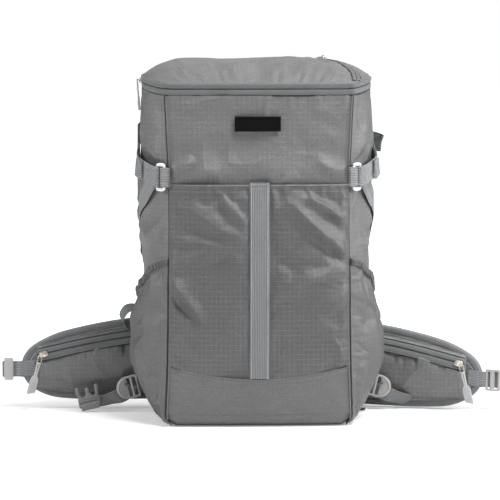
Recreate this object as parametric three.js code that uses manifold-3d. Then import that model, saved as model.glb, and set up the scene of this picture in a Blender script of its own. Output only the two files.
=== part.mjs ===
// A hiking daypack of about 28 litres, in millimetres.
// +Z is up, the front faces -Y, and the wearer stands at +Y.
// The origin is on the ground, under the middle of the base.
import * as THREE from "three";
import { mergeVertices } from "three/addons/utils/BufferGeometryUtils.js";
import Module from "manifold-3d";

const wasm = await Module();
wasm.setup();

// ---- Driving dimensions ----
const WEB = 25; // webbing width
const WEB_T = 1.6; // webbing thickness
const CLOTH = 2; // sewn panel: face fabric, foam and lining
const SKIN = 1.8; // unlined pocket fabric with its seam allowance
const GAP = 0.5; // clearance between neighbouring pieces
const BACK_Y = 92; // inner face of the back panel
const BASE_T = 3; // base panel with its stiffener
const ZIP_Z = 433; // main zip line at the front
const ZIP_RISE = 7; // how far the zip line rises towards the sides
const BAND_H = 7.5; // height of each half of the covered main zip
const BAND_T = 3.6; // how thick that half is
const POCKET_TOP = 311; // opening of the front stash pocket
const BOOT_TOP = 63; // seam between the base panel and the front, at the middle
const BOOT_RISE = 17; // how far that seam rises to the corners
const BOOT_TURN = 14; // radius where the front turns under
const CROWN = 24; // height of the lid's dome above its rim
const WING_T = 12; // hip wing padding
const LID_HINGE = { y: 95, z: 447.5 }; // fold where the lid joins the back panel
const HIP_HINGE = { x: 136, y: 104 };

// ---- Small tools ----
const clamp01 = (t) => Math.min(1, Math.max(0, t));
const lerp = (a, b, t) => a + (b - a) * t;
const ease = (t) => clamp01(t) ** 2 * (3 - 2 * clamp01(t));

// A smooth function through [place, value] keys.
function through(keys) {
  return (p) => {
    if (p <= keys[0][0]) return keys[0][1];
    const i = keys.findIndex((k) => k[0] >= p);
    if (i < 0) return keys[keys.length - 1][1];
    const [[p0, v0], [p1, v1]] = [keys[i - 1], keys[i]];
    return lerp(v0, v1, ease((p - p0) / (p1 - p0)));
  };
}

function geometryFrom(points, triangles) {
  const g = new THREE.BufferGeometry();
  g.setAttribute("position", new THREE.Float32BufferAttribute(points.flatMap((p) => [p.x, p.y, p.z]), 3));
  g.setIndex(triangles);
  const [a, b, c] = [new THREE.Vector3(), new THREE.Vector3(), new THREE.Vector3()];
  let volume = 0;
  for (let i = 0; i < triangles.length; i += 3) {
    a.copy(points[triangles[i]]);
    b.copy(points[triangles[i + 1]]);
    c.copy(points[triangles[i + 2]]);
    volume += a.dot(b.cross(c));
  }
  if (volume < 0) g.setIndex(triangles.map((v, i) => triangles[i - (i % 3) + [0, 2, 1][i % 3]]));
  return g;
}

// A closed slab between two surfaces, each a function of u and v from 0 to 1.
function slab(inner, outer, nu, nv) {
  const points = [];
  const triangles = [];
  for (const surface of [inner, outer])
    for (let j = 0; j <= nv; j++) for (let i = 0; i <= nu; i++) points.push(surface(i / nu, j / nv));
  const at = (k, i, j) => k * (nu + 1) * (nv + 1) + j * (nu + 1) + i;
  const quad = (a, b, c, d) => triangles.push(a, b, c, a, c, d);
  for (let j = 0; j < nv; j++)
    for (let i = 0; i < nu; i++) {
      quad(at(1, i, j), at(1, i + 1, j), at(1, i + 1, j + 1), at(1, i, j + 1));
      quad(at(0, i, j), at(0, i, j + 1), at(0, i + 1, j + 1), at(0, i + 1, j));
    }
  for (let i = 0; i < nu; i++) {
    quad(at(0, i, 0), at(0, i + 1, 0), at(1, i + 1, 0), at(1, i, 0));
    quad(at(0, i + 1, nv), at(0, i, nv), at(1, i, nv), at(1, i + 1, nv));
  }
  for (let j = 0; j < nv; j++) {
    quad(at(0, 0, j + 1), at(0, 0, j), at(1, 0, j), at(1, 0, j + 1));
    quad(at(0, nu, j), at(0, nu, j + 1), at(1, nu, j + 1), at(1, nu, j));
  }
  return geometryFrom(points, triangles);
}

// A flat strap or pad swept along points: side is its width direction, round bevels its long edges.
function strap(points, width, thickness, side, round = 0) {
  const curve = new THREE.CatmullRomCurve3(points.map((p) => new THREE.Vector3(...p)), false, "centripetal");
  const n = (points.length - 1) * 4;
  const widthAt = typeof width === "function" ? width : () => width;
  const sideAt = typeof side === "function" ? side : () => side;
  const rings = [];
  for (let i = 0; i <= n; i++) {
    const t = i / n;
    const p = curve.getPoint(t);
    const along = curve.getTangent(t);
    const across = new THREE.Vector3(...sideAt(t));
    across.addScaledVector(along, -along.dot(across)).normalize();
    const up = new THREE.Vector3().crossVectors(along, across);
    const [w, h, r] = [widthAt(t) / 2, thickness / 2, round];
    const bevelled = [[-w, -h + r], [-w + r, -h], [w - r, -h], [w, -h + r]];
    const flat = [[-w, -h], [w, -h]];
    const lower = r ? bevelled : flat;
    const outline = [...lower, ...lower.map(([a, b]) => [-a, -b])];
    rings.push(outline.map(([a, b]) => p.clone().addScaledVector(across, a).addScaledVector(up, b)));
  }
  return loft(rings);
}

// A closed solid through rings of points, capped at both ends.
function loft(rings) {
  const k = rings[0].length;
  const triangles = [];
  for (let i = 0; i + 1 < rings.length; i++)
    for (let j = 0; j < k; j++) {
      const [a, b] = [i * k + j, i * k + ((j + 1) % k)];
      triangles.push(a, b, b + k, a, b + k, a + k);
    }
  const last = (rings.length - 1) * k;
  for (let j = 1; j + 1 < k; j++) triangles.push(0, j + 1, j, last, last + j, last + j + 1);
  return geometryFrom(rings.flat(), triangles);
}

function roundedRect(w, h, r) {
  const s = new THREE.Shape();
  s.absarc(w / 2 - r, h / 2 - r, r, 0, Math.PI / 2);
  s.absarc(-w / 2 + r, h / 2 - r, r, Math.PI / 2, Math.PI);
  s.absarc(-w / 2 + r, -h / 2 + r, r, Math.PI, 1.5 * Math.PI);
  s.absarc(w / 2 - r, -h / 2 + r, r, 1.5 * Math.PI, 2 * Math.PI);
  return s;
}

// A flat plate of a shape in XZ, thick along Y, its middle at y = 0.
function plate(shape, thickness, curveSegments = 3) {
  const g = new THREE.ExtrudeGeometry(shape, { depth: thickness, bevelEnabled: false, curveSegments });
  g.translate(0, 0, -thickness / 2);
  return g.rotateX(Math.PI / 2);
}

function hole(shape, x, z, w, h, r = 1) {
  const cut = roundedRect(w, h, r).getPoints(3).map((p) => new THREE.Vector2(p.x + x, p.y + z));
  shape.holes.push(new THREE.Path(cut));
}

function solid(geometry) {
  const bare = geometry.index ? geometry.toNonIndexed() : geometry.clone();
  for (const name of Object.keys(bare.attributes)) if (name !== "position") bare.deleteAttribute(name);
  const merged = mergeVertices(bare, 1e-4);
  return new wasm.Manifold(
    new wasm.Mesh({
      numProp: 3,
      vertProperties: merged.attributes.position.array,
      triVerts: new Uint32Array(merged.index.array),
    }),
  );
}

function fromSolid(manifold) {
  const m = manifold.getMesh();
  const g = new THREE.BufferGeometry();
  g.setAttribute("position", new THREE.BufferAttribute(new Float32Array(m.vertProperties), 3));
  g.setIndex(new THREE.BufferAttribute(new Uint32Array(m.triVerts), 1));
  return g;
}

const join = (...geometries) => fromSolid(geometries.map(solid).reduce((a, b) => a.add(b)));
const cut = (a, b) => fromSolid(solid(a).subtract(solid(b)));
const moved = (g, x, y, z) => g.translate(x, y, z);

// Each piece is made once for the right-hand side and turned into its mirror image for the left.
function mirrored(geometry) {
  const g = geometry.index ? geometry.toNonIndexed() : geometry.clone();
  const p = g.attributes.position;
  for (let i = 0; i < p.count; i++) p.setX(i, -p.getX(i));
  for (let i = 0; i < p.count; i += 3) {
    const [b, c] = [i + 1, i + 2].map((k) => [p.getX(k), p.getY(k), p.getZ(k)]);
    p.setXYZ(i + 1, ...c);
    p.setXYZ(i + 2, ...b);
  }
  return g;
}

// ---- Materials ----
const stuff = (color, roughness, metalness = 0) =>
  new THREE.MeshStandardMaterial({ color, roughness, metalness });
const RIPSTOP = stuff(0x7f8181, 0.55);
const WEBBING = stuff(0x8f9794, 0.8);
const TRIM = stuff(0x868e8d, 0.75);
const ELASTIC = stuff(0x747a79, 0.85);
const FOAM_MESH = stuff(0x6c7070, 0.95);
const GREY_PLASTIC = stuff(0xa5a7a0, 0.45);
const WHITE_PLASTIC = stuff(0xe6e6e2, 0.35);
const LABEL_RUBBER = stuff(0x0b0c12, 0.6);
const SHEET_PLASTIC = stuff(0x2b2d2e, 0.6);
const NICKEL = stuff(0xb9b2a2, 0.3, 1);
const PULL_RUBBER = stuff(0xa9afad, 0.6);

const pack = new THREE.Group();
function add(name, geometry, material, parent = pack) {
  const mesh = new THREE.Mesh(geometry, material);
  mesh.name = name;
  parent.add(mesh);
  return mesh;
}
function addPair(name, geometry, material) {
  add(name + "_right", geometry, material);
  add(name + "_left", mirrored(geometry), material);
}

// ---- The bag's outline ----
// s runs round the bag: -1 to 1 across the front, 1 to 2 back along the right side, -1 to -2 along the left.
const seamX = through([[0, 117], [110, 113], [300, 112], [430, 118]]);
const sideX = through([[0, 119], [40, 132], [130, 142], [330, 150], [430, 144]]);
const seamY = through([[0, 82], [50, 89], [200, 91], [430, 84]]);
const bow = through([[0, 3], [60, 7], [250, 9], [430, 6]]);
const GUSSET_TURN = 0.42; // share of the side over which it curves back from the front seam
const REAR_TURN = 0.85; // where the side starts to curve in to the back
const REAR_RADIUS = 14;

function outline(s, z) {
  const side = Math.sign(s) || 1;
  if (Math.abs(s) <= 1) return new THREE.Vector2(s * seamX(z), -seamY(z) - bow(z) * (1 - s * s));
  const t = Math.abs(s) - 1;
  const bulge = 1 - (1 - clamp01(t / GUSSET_TURN)) ** 2;
  const tail = clamp01((t - REAR_TURN) / (1 - REAR_TURN)) ** 2;
  const x = seamX(z) + (sideX(z) - seamX(z)) * bulge - REAR_RADIUS * tail;
  return new THREE.Vector2(side * x, lerp(-seamY(z), BACK_Y, t));
}

// A point on the bag, lifted off it by a distance.
function onBag(s, z, lift) {
  const step = 0.02;
  const along = outline(Math.min(2, s + step), z).sub(outline(Math.max(-2, s - step), z)).normalize();
  const p = outline(s, z);
  return new THREE.Vector3(p.x + along.y * lift, p.y - along.x * lift, z);
}

// The height of the main zip line round the bag.
const zipZ = (s) => ZIP_Z + ZIP_RISE * ease((Math.abs(s) - 0.9) / 0.5);

// A panel that lies on the bag between two values of s and two heights, which may depend on s.
function panel({ from, to, low, high, lift = () => 0, thick = CLOTH, nu = 8, nv = 8 }) {
  const heightAt = (h, s) => (typeof h === "function" ? h(s) : h);
  const surface = (extra) => (u, v) => {
    const s = lerp(from, to, u);
    const z = lerp(heightAt(low, s), heightAt(high, s), v);
    return onBag(s, z, lift(u, v, s, z) + extra);
  };
  return slab(surface(0), surface(thick), nu, nv);
}

// ---- Main bag ----
const SEAM_CLEAR = 0.006; // share of a panel left clear at each seam
const underZip = (s) => zipZ(s) - BAND_H - 0.9;
function mainBag() {
  const front = { from: -1 + SEAM_CLEAR, to: 1 - SEAM_CLEAR, low: BOOT_TURN + 2, high: underZip };
  add("front_panel", panel({ ...front, nu: 8, nv: 10 }), RIPSTOP);
  const side = { from: 1 + SEAM_CLEAR, to: 2 - SEAM_CLEAR, low: 6, high: underZip, nu: 10, nv: 10 };
  addPair("side_panel", panel(side), RIPSTOP);
  const halfBack = (z) => sideX(z) - REAR_RADIUS + 1;
  const back = (y) => (u, v) => {
    const z = lerp(6, LID_HINGE.z - 2.5, v);
    return new THREE.Vector3(lerp(-1, 1, u) * halfBack(z), y, z);
  };
  add("back_panel", slab(back(BACK_Y + GAP), back(BACK_Y + GAP + CLOTH), 2, 8), RIPSTOP);
  add("frame_sheet", moved(plate(roundedRect(216, 396, 24), 1.8), 0, BACK_Y - 2.2, 214), SHEET_PLASTIC);
}

// The boot: it comes down the front from its seam, turns under and runs back to the rear edge.
const bootSeam = (s) => BOOT_TOP + BOOT_RISE * s * s;
const POCKET_LIFT = CLOTH + 1; // inner face of what lies on the panels
function basePanel() {
  const turn = BOOT_TURN;
  const [vTurn, vFlat] = [0.4, 0.6];
  const layer = (depth) => (u, v) => {
    const s = lerp(-0.985, 0.985, u);
    const front = (z) => onBag(s, z, POCKET_LIFT + depth);
    if (v <= vTurn) return front(lerp(bootSeam(s) - GAP, turn, v / vTurn));
    const lip = front(turn);
    const centreY = lip.y + turn - (BASE_T - depth);
    if (v <= vFlat) {
      const a = ((v - vTurn) / (vFlat - vTurn)) * (Math.PI / 2);
      const r = centreY - lip.y;
      const rise = turn - (BASE_T - depth);
      return new THREE.Vector3(lip.x, centreY - r * Math.cos(a), turn - rise * Math.sin(a));
    }
    const k = (v - vFlat) / (1 - vFlat);
    const wide = s * lerp(seamX(0), sideX(0) - 2, clamp01(k * 2.5));
    return new THREE.Vector3(lerp(lip.x, wide, k), lerp(centreY, BACK_Y - 1, k), BASE_T - depth);
  };
  add("base_panel", slab(layer(0), layer(BASE_T), 8, 15), RIPSTOP);
}

// ---- Pockets on the bag ----
const pocketFill = through([[0, 0], [0.12, 0.35], [0.5, 1], [0.85, 0.6], [1, 0.5]]);
function frontPocket() {
  const bulge = (u, v) => POCKET_LIFT + 5 * Math.sin(Math.PI * u) ** 0.8 * pocketFill(v);
  const shape = { from: -0.985, to: 0.985, low: bootSeam, high: POCKET_TOP, lift: bulge, thick: SKIN };
  add("front_pocket", panel({ ...shape, nu: 8, nv: 10 }), RIPSTOP);
  // The webbing lies on the pocket, from just above its opening down to the boot.
  const half = WEB / 2 / 112;
  const onPocket = (u, v, s, z) => bulge((s + 1) / 2, (z - BOOT_TOP) / (POCKET_TOP - BOOT_TOP)) + SKIN + 1;
  const [low, high] = [BOOT_TOP + 1, POCKET_TOP + 4];
  const strip = { from: -half, to: half, low, high, lift: onPocket, thick: WEB_T, nu: 2, nv: 10 };
  add("front_strap", panel(strip), WEBBING);
}

const BOTTLE_FILL = 20; // how far a side pocket stands off the bag
const bottleHem = (s) => through([[0, 208], [0.42, 166], [1, 148]])(Math.abs(s) - 1);
const bottleBulge = through([[0, 0], [0.15, 0.4], [0.5, 1], [0.8, 0.72], [1, 0.25]]);
const bottleLift = (u, v) => POCKET_LIFT + BOTTLE_FILL * Math.sin(Math.PI * u) ** 0.7 * bottleBulge(v);
const HEM_H = 9;
function sidePockets() {
  const reach = { from: 1.04, to: 1.965 };
  const shape = { ...reach, low: 9, high: bottleHem, lift: bottleLift, thick: SKIN, nu: 10, nv: 10 };
  addPair("side_pocket", panel(shape), RIPSTOP);
  const hem = {
    ...reach,
    low: (s) => bottleHem(s) + GAP,
    high: (s) => bottleHem(s) + HEM_H,
    lift: (u) => bottleLift(u, 1) - 0.1,
    thick: 3,
    nu: 10,
    nv: 2,
  };
  addPair("pocket_hem", panel(hem), ELASTIC);
}

function label() {
  const [w, low, high] = [60, 379.5, 398.5];
  const half = w / 2 / 117;
  const shape = { from: -half, to: half, low, high, lift: () => CLOTH + GAP, thick: 1.6, nu: 4, nv: 2 };
  add("label_patch", panel(shape), LABEL_RUBBER);
}

// ---- Lid and the covered zip that closes it ----
const lidX = (v) => outline(1 + Math.max(v, 1e-6), ZIP_Z).x;
function lidPoint(u, v, lift) {
  const s = lerp(-1, 1, u);
  const front = outline(s, ZIP_Z).y;
  const y = lerp(front, BACK_Y - 3, v);
  const x = s * (lidX(v * 0.97) - 1);
  const rim = ZIP_Z + BAND_H + ZIP_RISE * ease((Math.abs(s) - 0.8) / 0.2) * (1 - v) + ZIP_RISE * v;
  const dome = (1 - Math.abs(s) ** 4) * (1 - Math.abs(2 * v - 1) ** 2.8);
  return new THREE.Vector3(x, y, rim + CROWN * dome + lift);
}

const BAND_LIFT = 0.2;
function lid(group) {
  const layer = (lift) => (u, v) => lidPoint(u, v, lift);
  add("lid_shell", slab(layer(GAP), layer(GAP + CLOTH), 14, 12), RIPSTOP, group);
  const round = (from, to, low, high) =>
    panel({ from, to, low, high, lift: () => BAND_LIFT, thick: BAND_T, nu: 44, nv: 1 });
  const end = 1.93;
  add("zip_band_lower", round(-end, end, (s) => zipZ(s) - BAND_H - GAP / 2, (s) => zipZ(s) - 0.35), TRIM);
  add("zip_band_upper", round(-end, end, (s) => zipZ(s) + 0.35, (s) => zipZ(s) + BAND_H - 0.35), TRIM, group);
}

// The lid pocket's zip runs from the front right corner, inwards and back over the dome.
const LID_ZIP = { from: [0.96, 0.05], to: [0.79, 0.9], width: 13 };
function lidZipPoint(along, across, lift) {
  const [[u0, v0], [u1, v1]] = [LID_ZIP.from, LID_ZIP.to];
  return lidPoint(lerp(u0, u1, along) + across / (2 * sideX(ZIP_Z)), lerp(v0, v1, along), lift);
}
function lidZip(group) {
  const tape = (lift) => (a, b) => lidZipPoint(b, (a - 0.5) * LID_ZIP.width, lift);
  add("lid_pocket_zip", slab(tape(GAP + CLOTH + 0.6), tape(GAP + CLOTH + 1.8), 2, 12), TRIM, group);
}

// ---- Zip sliders and their pulls ----
// A slider body along X with its bail on top, centred on its underside.
function sliderGeometry(length = 11, width = 7) {
  const base = plate(roundedRect(length, width, 2), 2.6);
  const bail = plate(roundedRect(length * 0.62, 2.4, 1), 2.6);
  return join(base, moved(bail, 0, -2, 0));
}

// A pull that hangs from z = 0: a link, a cord and a tapered rubber tab. It lies in XZ.
function pullGeometry({ link = 13, cord = 13, tab = 17, thick = 2 } = {}) {
  const ring = roundedRect(5, link, 2);
  hole(ring, 0, 0, 2.6, link - 2.6, 1);
  const end = -link / 2 - cord;
  const corners = [[-2.6, 0], [2.6, 0], [4.2, -tab], [-4.2, -tab + 2.5]];
  const taper = new THREE.Shape(corners.map(([x, z]) => new THREE.Vector2(x, z)));
  const cordRod = new THREE.CylinderGeometry(1.1, 1.1, cord + 3, 8).rotateX(Math.PI / 2);
  return join(
    moved(plate(ring, thick), 0, 0, -link / 2),
    moved(cordRod, 0, 0, -link - cord / 2 + 0.5),
    moved(plate(taper, 2.6), 0, 0, end - link / 2 + 1),
  );
}

const LID_SLIDER_AT = 0.86; // where the lid pocket's slider is parked, as a share of its zip
const MAIN_SLIDERS = { front: 50, rear: 64 }; // places along Y, where the two main sliders meet
function sliders(group) {
  const seat = new THREE.Group();
  const lift = GAP + CLOTH + 4;
  const place = lidZipPoint(LID_SLIDER_AT, 0, lift);
  const ahead = lidZipPoint(LID_SLIDER_AT + 0.04, 0, lift);
  const along = ahead.sub(lidZipPoint(LID_SLIDER_AT - 0.04, 0, lift)).normalize();
  const out = new THREE.Vector3(0, 0, 1).addScaledVector(along, -along.z).normalize();
  const across = new THREE.Vector3().crossVectors(along, out.clone().negate());
  seat.applyMatrix4(new THREE.Matrix4().makeBasis(along, out.clone().negate(), across).setPosition(place));
  group.add(seat);
  add("lid_slider", sliderGeometry(), NICKEL, seat);
  const pull = pullGeometry({ link: 10, cord: 8, tab: 13 }).rotateY(-Math.PI / 2);
  add("lid_pull", moved(pull, 7, -1.2, 0), PULL_RUBBER, seat);
  // The main sliders ride on the left side's band. Slider and pull are one body each.
  for (const [name, y] of Object.entries(MAIN_SLIDERS)) {
    const slider = sliderGeometry();
    const hanging = moved(pullGeometry({ thick: 1.8 }), 0, -2.9, 0.5);
    const mesh = add("main_slider_" + name, join(slider, hanging), NICKEL);
    const s = 1 + (y + seamY(ZIP_Z)) / (BACK_Y + seamY(ZIP_Z));
    mesh.rotation.z = -Math.PI / 2;
    mesh.position.set(-outline(s, ZIP_Z).x - BAND_LIFT - BAND_T - 2, y, ZIP_Z + ZIP_RISE);
  }
}

// ---- Side compression straps ----
// Each is one length of webbing, from the upper rear seam to the hook at the front seam
// and back to the lower rear seam.
const HOOK = { z: 321, s: 1.035, lift: 6 };
const HOOK_TURN = THREE.MathUtils.degToRad(47); // how far the hook faces outwards from straight ahead
function onHook() {
  const p = outline(HOOK.s, HOOK.z);
  return new THREE.Matrix4().makeRotationZ(HOOK_TURN).setPosition(p.x, p.y, HOOK.z);
}

// The two layers of webbing that turn round a bar: their middles, off the bag.
const LAYERS = { inner: HOOK.lift - 1.9, outer: HOOK.lift + 4.9 };

// Points of a hairpin turn in the hook's own frame, from the outer layer to the inner one.
// The turn is at x = at, and the legs run towards +X (way 1) or -X (way -1).
function hairpin(at, length, way) {
  const middle = (LAYERS.inner + LAYERS.outer) / 2;
  return [
    [way * length, LAYERS.outer], [at + way * 1.5, LAYERS.outer], [at - way * 1.6, middle],
    [at + way * 1.5, LAYERS.inner], [way * length, LAYERS.inner],
  ].map(([x, off]) => [x, -off, 0]);
}

function hookRing() {
  const ring = roundedRect(19, WEB + 8, 3);
  hole(ring, 0, 0, 12, WEB + 1.6, 1);
  return moved(plate(ring, 2.6), 0, -HOOK.lift - 1.6, 0);
}

// A place on the right side of the bag, given as y and z.
function onSide(y, z, lift) {
  const s = 1 + clamp01((y + seamY(z)) / (BACK_Y + seamY(z)));
  return onBag(s, z, lift).toArray();
}

function sideRun([y0, z0], [y1, z1], lift) {
  const steps = 6;
  const shares = Array.from({ length: steps + 1 }, (_, i) => i / steps);
  return shares.map((t) => onSide(lerp(y0, y1, t), lerp(z0, z1, t), lift(t)));
}

function compressionStraps() {
  const frame = onHook();
  const toBag = (points) => points.map((p) => new THREE.Vector3(...p).applyMatrix4(frame).toArray());
  addPair("compression_loop", strap(toBag(hairpin(-3.6, 16, -1)), WEB, WEB_T, [0, 0, 1]), WEBBING);
  const rest = POCKET_LIFT + 2.8;
  const upper = sideRun([80, 371], [-52, 328], (t) => rest + 5 * ease(t * 1.6 - 0.6));
  const lower = sideRun([-58, 303], [80, 216], () => rest);
  const path = [...upper, ...toBag(hairpin(3.6, 19, 1)), ...lower];
  addPair("compression_strap", strap(path, WEB, WEB_T, [0, 0, 1]), WEBBING);
  addPair("compression_hook", hookRing().applyMatrix4(frame), WHITE_PLASTIC);
}

// ---- Ladder locks, webbing and buckles ----
// A ladder lock in XZ: two slots and a round thumb tab on the left.
function ladderLock(width = WEB + 9, depth = 20) {
  const s = new THREE.Shape();
  const [w, d] = [width / 2, depth / 2];
  s.moveTo(d, -w + 3);
  s.lineTo(d, w - 3);
  s.quadraticCurveTo(d, w, d - 3, w);
  s.lineTo(-d, w);
  s.absarc(-d, 0, w, Math.PI / 2, 1.5 * Math.PI, false);
  s.lineTo(d - 3, -w);
  s.quadraticCurveTo(d, -w, d, -w + 3);
  hole(s, d - 6, 0, 5, WEB + 1.4);
  hole(s, -d + 5, 0, 5, WEB + 1.4);
  return plate(s, 3.4, 8);
}

// The lower corner of each side: a ladder lock held by the side seam,
// and the webbing that pulls the hip wing in.
const SIDE_LOCK = { x: 161, y: 62, z: 33, turn: 0.2, tilt: 0.24 };
function sideLocks() {
  const lock = ladderLock(WEB + 7, 17).scale(-0.86, 1, 0.86);
  lock.rotateY(SIDE_LOCK.tilt).rotateZ(-SIDE_LOCK.turn);
  addPair("side_lock", moved(solidFacing(lock), SIDE_LOCK.x, SIDE_LOCK.y, SIDE_LOCK.z), GREY_PLASTIC);
  const path = [[171, 65.5, 20], [174, 66, 12], [178, 69, 6.5]];
  addPair("stabiliser_web", strap(path, WEB - 5, WEB_T, (t) => [0.9, 0.2, 0.4 - 0.3 * t]), WEBBING);
}

// A mirrored geometry has its faces turned back out.
function solidFacing(geometry) {
  const g = geometry.index ? geometry.toNonIndexed() : geometry;
  const p = g.attributes.position;
  for (let i = 0; i < p.count; i += 3) {
    const [b, c] = [i + 1, i + 2].map((k) => [p.getX(k), p.getY(k), p.getZ(k)]);
    p.setXYZ(i + 1, ...c);
    p.setXYZ(i + 2, ...b);
  }
  return g;
}

function gearLoop() {
  const turn = [[-149, 112], [-158, 108], [-169, 112], [-175, 123], [-169, 134], [-158, 135], [-149, 129]];
  const path = turn.map(([x, z]) => [x, 85, z]);
  add("gear_loop", strap(path, WEB - 9, WEB_T, [0.1, -1, 0]), WEBBING);
}

// ---- Harness ----
const PAD_Y = BACK_Y + GAP + CLOTH + GAP; // outer face of the back panel, with clearance
function backPads() {
  const one = (low, high, x0, x1, thick) => {
    const at = (y) => (u, v) => new THREE.Vector3(lerp(x0, x1, u), y(u, v), lerp(low, high, v));
    const dome = (u, v) => Math.sin(Math.PI * clamp01(u)) * Math.sin(Math.PI * v);
    const crown = (u, v) => PAD_Y + 3 + thick * dome(u, v) ** 0.35;
    return slab(at(() => PAD_Y), at(crown), 6, 10);
  };
  addPair("back_pad", one(128, 392, 12, 92, 10), FOAM_MESH);
  add("lumbar_pad", one(14, 118, -130, 130, 12), FOAM_MESH);
}

// The shoulder strap: a pad from the top of the back to hip height, and the webbing below it.
function shoulderStraps() {
  const path = [
    [44, 102.5, 404], [47, 114, 399], [52, 121, 384], [66, 126, 330],
    [82, 127, 268], [96, 126, 210], [104, 124, 170],
  ];
  const width = through([[0, 46], [0.3, 66], [0.75, 58], [1, 30]]);
  addPair("shoulder_pad", strap(path, width, 9, [1, 0, -0.1], 2.5), FOAM_MESH);
  const lock = ladderLock(WEB + 7, 17).scale(0.8, 1, 0.8).rotateY(-Math.PI / 2);
  addPair("shoulder_lock", moved(lock, 106, 124.6, 153), GREY_PLASTIC);
  const web = [[107, 124, 131], [110, 120, 112], [114, 117, 94], [116, 115.5, 74]];
  addPair("shoulder_web", strap(web, WEB - 5, WEB_T, [1, 0, 0]), WEBBING);
  const lifter = [[62, 96.6, 428], [60, 106, 417], [58, 121, 403], [57, 129, 393]];
  addPair("load_lifter", strap(lifter, WEB - 5, WEB_T, [1, 0, 0]), WEBBING);
}

// The sternum strap's halves hang unfastened from the shoulder pads, a buckle part at each free end.
const STERNUM_Z = 318;
function sternumStrap() {
  const half = (side, buckle, turn, x) => {
    const path = [[84, 133], [60, 134], [32, 134]].map(([px, py]) => [side * px, py, STERNUM_Z]);
    const end = buckle.scale(0.72, 1, 0.72).rotateY(turn);
    return join(strap(path, 18, WEB_T, [0, 0, 1]), moved(end, x, 134, STERNUM_Z));
  };
  add("sternum_half_right", half(1, maleBuckle(), -Math.PI / 2, 26), WEBBING);
  add("sternum_half_left", half(-1, femaleBuckle(), Math.PI / 2, -22), WEBBING);
}

function haulLoop() {
  const half = [[20, 97.5, 425], [19.5, 106, 424], [13, 114, 422]];
  const path = [...half.map(([x, y, z]) => [-x, y, z]), [0, 117, 421], ...half.reverse()];
  add("haul_loop", strap(path, 17, 2.4, [0, 0.2, 1]), WEBBING);
}

// A side-release buckle's prong half, upright in XZ: the bar for the webbing below, the prongs above.
const BUCKLE = { w: 30, bar: 12, prong: 19 };
function maleBuckle() {
  const { w, bar, prong } = BUCKLE;
  const s = new THREE.Shape();
  const h = w / 2;
  s.moveTo(-h, -bar);
  s.lineTo(h, -bar);
  s.lineTo(h, 0);
  s.lineTo(h - 1.5, 5);
  s.lineTo(h + 1, prong - 7);
  s.quadraticCurveTo(h + 0.5, prong, h - 3.5, prong);
  s.quadraticCurveTo(h - 6, prong - 5, h - 5, 6);
  s.quadraticCurveTo(h - 7, 2, 3, 8);
  s.lineTo(1.8, prong - 4);
  s.lineTo(-1.8, prong - 4);
  s.lineTo(-3, 8);
  s.quadraticCurveTo(-h + 7, 2, -h + 5, 6);
  s.quadraticCurveTo(-h + 6, prong - 5, -h + 3.5, prong);
  s.quadraticCurveTo(-h - 0.5, prong, -h - 1, prong - 7);
  s.lineTo(-h + 1.5, 5);
  s.lineTo(-h, 0);
  hole(s, 0, -bar / 2 - 0.5, w - 7, 5, 1);
  return plate(s, 5, 4);
}

// The half that the prongs click into: a hollow housing, open at the top and at both sides.
function femaleBuckle() {
  const { w, bar, prong } = BUCKLE;
  const housing = plate(roundedRect(w + 3, prong + 6, 3), 9);
  const mouth = new THREE.BoxGeometry(w - 2, 5.6, prong + 2).translate(0, 0, 4);
  const sides = new THREE.BoxGeometry(w + 8, 5.6, 9).translate(0, 0, -1);
  const tail = roundedRect(w - 2, bar, 2);
  hole(tail, 0, -1, w - 9, 5, 1);
  return join(cut(cut(housing, mouth), sides), moved(plate(tail, 5), 0, 0, -prong / 2 - bar / 2 - 1.5));
}

// ---- Hip belt ----
// A wing is made pointing along +X from its hinge line, its front towards -Y.
// Its upper edge falls from root to tip, ever faster. Its lower edge rises towards the tip.
const WING_TOP = { root: 122, slope: 0.0735, bend: 0.00078 };
const WING_LOW = { root: 12, rise: 6, from: 60, to: 154 };
const TIP = { x: 141, z: 56, r: 34 };
const wingTop = (x) => WING_TOP.root - WING_TOP.slope * x - WING_TOP.bend * x * x;
function wingLow(x) {
  const share = (x - WING_LOW.from) / (WING_LOW.to - WING_LOW.from);
  return WING_LOW.root + WING_LOW.rise * Math.max(0, share) ** 2;
}

function wingShape(inset = 0, start = 0) {
  const s = new THREE.Shape();
  const steps = 6;
  s.moveTo(start, wingLow(start) + inset);
  for (let i = 1; i <= steps; i++) {
    const x = lerp(start, TIP.x - 2, i / steps);
    s.lineTo(x, wingLow(x) + inset);
  }
  s.absarc(TIP.x, TIP.z, TIP.r - inset, -Math.PI / 2 + 0.12, Math.PI / 2 - 0.18, false);
  for (let i = steps - 1; i >= 0; i--) {
    const x = lerp(start, TIP.x - 8, i / steps);
    s.lineTo(x, wingTop(x) - inset);
  }
  return s;
}

const HIP_ZIP = { from: [6, 100], to: [150, 74] }; // the pocket zip's two ends on the wing
const HIP_POCKET = { from: 6, to: 154, stand: 17 };
const SLIDER_LIFT = 4.3; // from the pocket's face to the middle of its slider
const SLIDER_PARK = 145; // where the slider sits along the wing
function hipZipZ(x) {
  const [[x0, z0], [x1, z1]] = [HIP_ZIP.from, HIP_ZIP.to];
  return lerp(z0, z1, (x - x0) / (x1 - x0));
}

// How far the pocket stands off the wing.
const pocketStand = (u, v) =>
  HIP_POCKET.stand * (1 - Math.abs(2 * u - 1) ** 14) * Math.sin(Math.PI * v) ** 0.6;

// The hip pocket: a shell that stands off the wing, open towards it.
function hipPocket() {
  const fill = (lift) => (u, v) => {
    const x = lerp(HIP_POCKET.from, HIP_POCKET.to, u);
    const z = lerp(wingLow(x) + 6, hipZipZ(x) + 11, v);
    return new THREE.Vector3(x, -WING_T / 2 - 0.6 - pocketStand(u, v) - lift, z);
  };
  return slab(fill(0), fill(SKIN), 12, 8);
}

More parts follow.
